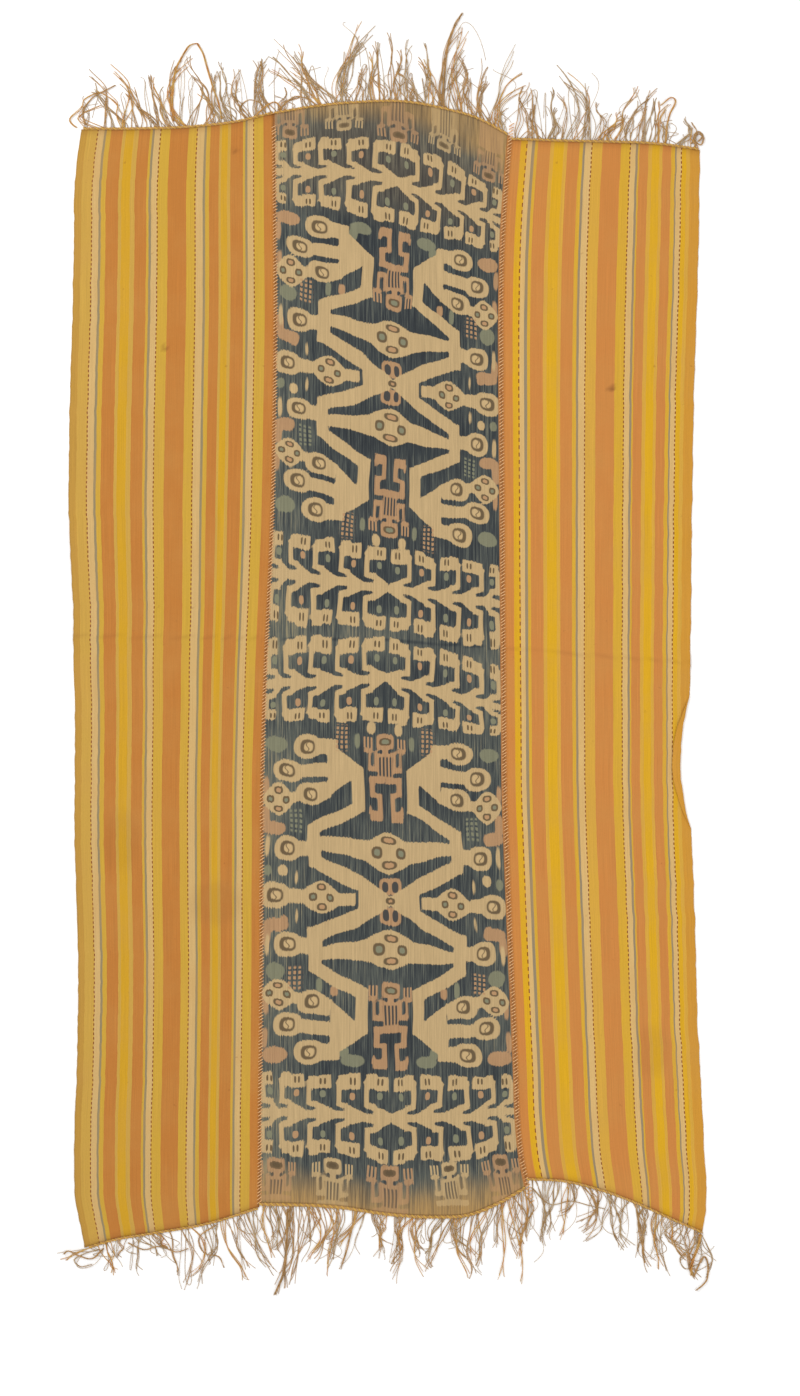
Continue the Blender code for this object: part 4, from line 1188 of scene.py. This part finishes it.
def fringe_yarns(end, side, settings):
    """Loose warp ends of one panel end, gathered into twisted locks, with stray yarns."""
    outward = 1.0 if end == "top" else -1.0
    draw = np.random.default_rng(len(end) * 10 + len(side))
    share = np.linspace(0.0, 1.0, YARN_SECTIONS)
    yarns = []

    def add_yarn(across, ahead, height, thick, number):
        start = end_line(end, side, across[0])
        along = start - outward * 2.0 + outward * ahead
        radius = settings.yarn / 2 * thick * (1.0 - 0.25 * share ** 2)
        places = model(across, along, np.maximum(height, 0.0) + radius)
        yarns.append(([(place, size * MM) for place, size in zip(places, radius)], number))

    for lock in LOCKS[f"{end}_{side}"]:
        for strand in range(lock.strands):
            sideways = (strand + draw.uniform(0.2, 0.8)) / lock.strands - 0.5
            reach = lock.reach * (draw.uniform(0.94, 1.03) if strand == 0 else draw.uniform(0.5, 0.97))
            meet = lock.root + sideways * min(lock.spread, lock.strands * 4.5) * draw.uniform(0.3, 1.1)
            gathered = LOCK_GATHERED_AT * draw.uniform(0.75, 1.25)
            lean = lock.lean * draw.uniform(0.8, 1.1) + draw.normal(0.0, 5.0)
            bow = lock.bow + draw.normal(0.0, 4.0)
            waves = draw.uniform(0.6, 1.6)
            phase = draw.uniform(0.0, 2.0 * math.pi)
            sway = draw.uniform(2.0, 8.0) * (np.sin(share * waves * 2.0 * math.pi + phase) - math.sin(phase))
            level = draw.uniform(0.4, 3.4)
            number = int(draw.choice(3, p=(0.5, 0.26, 0.24)))
            turns = draw.uniform(1.0, 2.5)
            for yarn in range(settings.yarns_a_strand):
                angle = yarn / settings.yarns_a_strand * 2.0 * math.pi + share * turns * 2.0 * math.pi
                root = lock.root + (sideways + draw.uniform(-0.6, 0.6) / lock.strands) * lock.spread * 1.7
                close = eased(share, 0.0, gathered)
                belly = draw.normal(0.0, 4.5) * np.sin(math.pi * np.minimum(share / gathered, 1.0))
                fray = draw.normal(0.0, 5.0) * np.maximum(share - 0.75, 0.0) ** 1.5 / 0.125
                across = root * (1.0 - close) + meet * close + belly + 0.65 * np.cos(angle) * close
                across = across + lean * share + bow * 4.0 * share * (1.0 - share) + sway * share + fray
                ahead = reach * draw.uniform(0.8, 1.0) * share
                height = 1.6 + (level - 1.6) * eased(share, 0.0, 0.3) + 0.6 * (1.0 + np.sin(angle)) * close
                add_yarn(across, ahead, height * (1.0 - 0.5 * share), draw.uniform(0.75, 1.15), number)
        for stray in range(settings.strays_a_lock):
            root = lock.root + draw.uniform(-0.8, 0.8) * lock.spread
            reach = lock.reach * draw.uniform(0.35, 0.95)
            waves = draw.uniform(0.5, 1.3)
            phase = draw.uniform(0.0, 2.0 * math.pi)
            sway = draw.normal(0.0, 13.0) * (np.sin(share * waves * 2.0 * math.pi + phase) - math.sin(phase))
            across = root + lock.lean * share * draw.uniform(-0.2, 1.2) + sway * share
            turned = draw.uniform(0.7, 0.95) if draw.uniform() < 0.25 else draw.uniform(0.3, 0.5)
            ahead = reach * np.sin(share * turned * math.pi)
            add_yarn(across, ahead, 0.5 + draw.uniform(0.0, 4.0) * share * (1.0 - share) * 4.0, 0.7, 2)
    for tangle in TANGLES:
        if tangle.end != f"{end}_{side}":
            continue
        marks = np.linspace(0.0, 1.0, len(tangle.across))
        for strand in range(tangle.yarns):
            angle = strand * 2.2 + share * 9.0
            offset = 0.55 * math.sqrt(tangle.yarns) + draw.uniform(-0.2, 0.5)
            across = smooth_value(marks, tangle.across, share) + offset * np.cos(angle)
            along = smooth_value(marks, tangle.along, share)
            ahead = (along - end_line(end, side, across[0])) * outward + 2.0
            height = 0.6 + offset * (1.0 + np.sin(angle)) + draw.uniform(0.0, 1.5) * share
            add_yarn(across, ahead, height, 1.0, tangle.tone)
    return yarns


class ClothSizes(bpy.types.PropertyGroup):
    """Sizes of the cloth's weave, stitches and yarns, in millimetres."""

    thickness: millimetres("Thickness", "Thickness of the woven sheets", 1.5)
    thread_pitch: millimetres("Thread pitch", "Spacing of the warp ribs", 1.1)
    bundle: millimetres("Bundle", "Width of a bundle of warp threads dyed together", 1.9)
    feather: millimetres("Feather", "How far dyed bundles lie out of line", 1.9)
    dash_pitch: millimetres("Dash pitch", "Spacing of the dark floats in the dotted lines", 8.2)
    stitch_pitch: millimetres("Stitch pitch", "Spacing of the seam stitches", 5.9)
    stitch_length: millimetres("Stitch length", "Width of a seam stitch across the seam", 8.5)
    stitch_yarn: millimetres("Stitch yarn", "Thickness of the sewing yarn", 1.7)
    twine_lay: millimetres("Twine lay", "Length of one turn of the twined edge", 10.4)
    twine_ply: millimetres("Twine ply", "Thickness of one ply of the twined edge", 2.6)
    yarn: millimetres("Yarn", "Thickness of one fringe yarn", 1.45)
    yarns_a_strand: IntProperty(
        name="Yarns a strand", description="Fringe yarns twisted together in each strand",
        default=3, min=1, max=8,
    )
    strays_a_lock: IntProperty(
        name="Strays a lock", description="Single yarns that have left each lock",
        default=3, min=0, max=8,
    )


class ClothColours(bpy.types.PropertyGroup):
    """Colours of the cloth's dyed yarns."""

    orange: colour_setting("Orange", "Wide stripes of the left panel", "#B3722F")
    orange_right: colour_setting("Orange, right", "Wide stripes of the right panel", "#C07C3A")
    bright: colour_setting("Bright yellow", "Yellow in the middle of the ochre bands", "#C2931C")
    bright_right: colour_setting("Bright yellow, right", "The same on the right panel", "#CE9D14")
    yellow: colour_setting("Yellow", "Narrow yellow stripes", "#BF9733")
    yellow_right: colour_setting("Yellow, right", "The same on the right panel", "#C99C2C")
    ochre: colour_setting("Ochre", "Softer yellow stripes", "#BC943F")
    ochre_right: colour_setting("Ochre, right", "The same on the right panel", "#C99A38")
    cream: colour_setting("Cream", "Undyed stripes", "#C4A268")
    cream_right: colour_setting("Cream, right", "The same on the right panel", "#CCA86B")
    grey: colour_setting("Grey", "Narrow grey stripes", "#8B7C5C")
    grey_right: colour_setting("Grey, right", "The same on the right panel", "#8D7D62")
    selvedge: colour_setting("Selvedge", "Outermost stripe", "#B18636")
    selvedge_right: colour_setting("Selvedge, right", "The same on the right panel", "#C38A2C")
    dash: colour_setting("Dash", "Floats of the dotted lines", "#7A3C18")
    faded: colour_setting("Faded", "Dust and fading on the stripes", "#BC8C48")
    # This colour also paints the shade along the crease and the seams of the side panels
    stain_and_shade: colour_setting("Stain", "Soiling and stains", "#7A4A20")
    indigo_deep: colour_setting("Deep indigo", "Darkest indigo", "#212529")
    indigo: colour_setting("Indigo", "Indigo ground", "#33383A")
    indigo_faded: colour_setting("Faded indigo", "Worn indigo", "#595C54")
    indigo_grey: colour_setting("Grey indigo", "Palest streaks of the ground", "#857C62")
    motif_cream: colour_setting("Motif cream", "Undyed figures of the ikat", "#BCA073")
    rust: colour_setting("Rust", "Small figures of the ikat", "#AC8660")
    teal: colour_setting("Teal", "Faint grey-green fillers of the ikat", "#7B7A62")
    umber: colour_setting("Umber", "Brown outlines inside the figures", "#5A4A34")
    end_brown: colour_setting("End brown", "Browned ends of the ikat", "#AC8852")
    border: colour_setting("Border", "Plain borders of the middle panel", "#AC713A")
    twine: colour_setting("Twine", "Yellow yarn of the twined edges", "#C89E4C")
    twine_shade: colour_setting("Twine, shaded", "Darker yarn of the twined edges", "#A27A40")
    sewing: colour_setting("Sewing yarn", "Yarn of the seam stitches", "#E4B47E")
    sewing_shade: colour_setting("Sewing yarn, shaded", "Darker places of that yarn", "#B06A38")
    fringe: colour_setting("Fringe", "Main brown of the fringe", "#BE9460")
    fringe_orange: colour_setting("Fringe orange", "Orange yarns of the fringe", "#BC8040")
    fringe_yellow: colour_setting("Fringe yellow", "Yellow yarns of the fringe", "#C6A058")
    fringe_grey: colour_setting("Fringe grey", "Bleached yarns of the fringe", "#BAA27E")
    fringe_shade: colour_setting("Fringe, shaded", "Darkest fringe yarns", "#9C7846")


class CLOTH_OT_weave_side_panels(bpy.types.Operator):
    """Lay the two striped side panels"""

    bl_idname = "cloth.weave_side_panels"
    bl_label = "Weave side panels"

    def execute(self, context):
        sizes = context.scene.cloth_sizes
        colours = context.scene.cloth_colours
        look = Look(sizes, colours)
        for panel in (PANELS[0], PANELS[2]):
            name = f"woven_panel_{panel.side}"
            mesh, *places = lay_sheet(name, panel)
            soil_stripes(mesh, panel, *places[:4])
            piece = add_piece(name, mesh, striped_cotton(panel.side, look))
            thicken(piece, sizes)
            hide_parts(f"panel_{panel.side}")
        return {"FINISHED"}


class CLOTH_OT_weave_middle_panel(bpy.types.Operator):
    """Lay the middle panel and its warp ikat"""

    bl_idname = "cloth.weave_middle_panel"
    bl_label = "Weave middle panel"

    def execute(self, context):
        sizes = context.scene.cloth_sizes
        look = Look(sizes, context.scene.cloth_colours)
        name = "woven_panel_centre"
        mesh, *places = lay_sheet(name, PANELS[1])
        chart_ikat(mesh, *places)
        piece = add_piece(name, mesh, ikat_cotton(look))
        thicken(piece, sizes)
        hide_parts("panel_centre")
        return {"FINISHED"}


class CLOTH_OT_sew_seams(bpy.types.Operator):
    """Overcast the two seams"""

    bl_idname = "cloth.sew_seams"
    bl_label = "Sew seams"

    def execute(self, context):
        sizes = context.scene.cloth_sizes
        colours = context.scene.cloth_colours
        tones = (colours.sewing_shade, colours.sewing, colours.sewing)
        material = yarn_material("sewing_yarn", tones, 300.0)
        for line in ("left_seam", "right_seam"):
            mesh = tubes(f"{line}_stitches", overcast(line, sizes), 4, [material])
            add_piece(mesh.name, mesh, None)
        return {"FINISHED"}


class CLOTH_OT_twine_ends(bpy.types.Operator):
    """Twine the ends of the panels"""

    bl_idname = "cloth.twine_ends"
    bl_label = "Twine ends"

    def execute(self, context):
        sizes = context.scene.cloth_sizes
        colours = context.scene.cloth_colours
        materials = [
            yarn_material("twining_yarn_yellow", (colours.twine, colours.twine), 150.0),
            yarn_material("twining_yarn_brown", (colours.twine_shade, colours.fringe), 150.0),
        ]
        for name in ENDS:
            end, side = name.split("_")
            mesh = tubes(f"twined_edge_{name}", twined_edge(end, side, sizes), 6, materials)
            piece = add_piece(mesh.name, mesh, None)
            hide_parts(f"fringe_{name}")
        return {"FINISHED"}


class CLOTH_OT_grow_fringe(bpy.types.Operator):
    """Let the warp ends run out as fringe"""

    bl_idname = "cloth.grow_fringe"
    bl_label = "Grow fringe"

    def execute(self, context):
        sizes = context.scene.cloth_sizes
        colours = context.scene.cloth_colours
        materials = [
            yarn_material("fringe_yarn_brown", (colours.fringe_shade, colours.fringe), 70.0),
            yarn_material("fringe_yarn_gold", (colours.fringe_orange, colours.fringe_yellow), 70.0),
            yarn_material("fringe_yarn_grey", (colours.fringe_shade, colours.fringe_grey), 70.0),
        ]
        for name in LOCKS:
            end, side = name.split("_")
            mesh = tubes(f"fringe_yarns_{name}", fringe_yarns(end, side, sizes), 4, materials)
            piece = add_piece(mesh.name, mesh, None)
            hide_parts(f"fringe_{name}")
        return {"FINISHED"}


class CLOTH_OT_declare_sheets(bpy.types.Operator):
    bl_idname = "cloth.declare_sheets"
    bl_label = "Declare sheets"

    def execute(self, context):
        for panel in PANELS:
            across, along = woven_places(panel)[:2]
        return {"FINISHED"}


class CLOTH_OT_set_stage(bpy.types.Operator):
    """Set the floor, the soft light and the camera above the cloth"""

    bl_idname = "cloth.set_stage"
    bl_label = "Set stage"

    def execute(self, context):
        scene = context.scene
        floor_mesh = bmesh.new()
        bmesh.ops.create_grid(floor_mesh, x_segments=1, y_segments=1, size=FLOOR_HALF_WIDTH)
        mesh = bpy.data.meshes.new("studio_floor")
        floor_mesh.to_mesh(mesh)
        floor_mesh.free()
        # Matt white background paper: soft and even, with no gloss of its own
        material = bpy.data.materials.new("white_paper")
        material.use_nodes = True
        shader = material.node_tree.nodes["Principled BSDF"]
        shader.inputs["Base Color"].default_value = opaque(linear("#FAFAFA"))
        shader.inputs["Roughness"].default_value = 0.95
        shader.inputs["Specular IOR Level"].default_value = 0.0
        mesh.materials.append(material)
        floor = bpy.data.objects.new("studio_floor", mesh)
        scene.collection.objects.link(floor)
        world = bpy.data.worlds.new("studio_world")
        world.use_nodes = True
        background = world.node_tree.nodes["Background"]
        background.inputs["Color"].default_value = (1.0, 1.0, 1.0, 1.0)
        background.inputs["Strength"].default_value = WORLD_STRENGTH
        scene.world = world
        for lamp in LAMPS:
            light = bpy.data.lights.new(lamp.name, "AREA")
            light.energy = lamp.power
            light.size = lamp.size
            hung = bpy.data.objects.new(lamp.name, light)
            hung.location = lamp.place
            hung.rotation_euler = Vector(lamp.place).to_track_quat("Z", "Y").to_euler()
            scene.collection.objects.link(hung)
        camera = bpy.data.cameras.new("camera_above")
        camera.sensor_width = SENSOR
        camera.lens = SENSOR * CAMERA_HEIGHT / FRAME_LENGTH
        camera.clip_end = 50.0
        holder = bpy.data.objects.new("camera_above", camera)
        holder.location = (*FRAME_MIDDLE, CAMERA_HEIGHT)
        scene.collection.objects.link(holder)
        scene.camera = holder
        scene.view_settings.view_transform = "Standard"
        return {"FINISHED"}


class CLOTH_PT_panel(bpy.types.Panel):
    """Sizes, colours and steps of the cloth"""

    bl_label = "Wrap cloth"
    bl_idname = "CLOTH_PT_panel"
    bl_space_type = "VIEW_3D"
    bl_region_type = "UI"
    bl_category = "Cloth"

    def draw(self, context):
        for group in (context.scene.cloth_sizes, context.scene.cloth_colours):
            box = self.layout.box()
            for name in group.__annotations__:
                box.prop(group, name)
        for operator in OPERATORS:
            self.layout.operator(operator.bl_idname)


class Look:
    """The sizes and colours of both groups, as the materials read them."""

    def __init__(self, sizes, colours):
        for group in (sizes, colours):
            for name in group.__annotations__:
                setattr(self, name, getattr(group, name))


OPERATORS = (
    CLOTH_OT_weave_side_panels, CLOTH_OT_weave_middle_panel, CLOTH_OT_sew_seams,
    CLOTH_OT_twine_ends, CLOTH_OT_grow_fringe, CLOTH_OT_declare_sheets, CLOTH_OT_set_stage,
)
CLASSES = (ClothSizes, ClothColours, *OPERATORS, CLOTH_PT_panel)


def register():
    for cls in CLASSES:
        bpy.utils.register_class(cls)
    bpy.types.Scene.cloth_sizes = PointerProperty(type=ClothSizes)
    bpy.types.Scene.cloth_colours = PointerProperty(type=ClothColours)


def unregister():
    del bpy.types.Scene.cloth_colours
    del bpy.types.Scene.cloth_sizes
    for cls in reversed(CLASSES):
        bpy.utils.unregister_class(cls)


def main():
    register()
    bpy.ops.cloth.weave_side_panels()
    bpy.ops.cloth.weave_middle_panel()
    bpy.ops.cloth.sew_seams()
    bpy.ops.cloth.twine_ends()
    bpy.ops.cloth.grow_fringe()
    bpy.ops.cloth.declare_sheets()
    bpy.ops.cloth.set_stage()


if __name__ == "__main__":
    main()
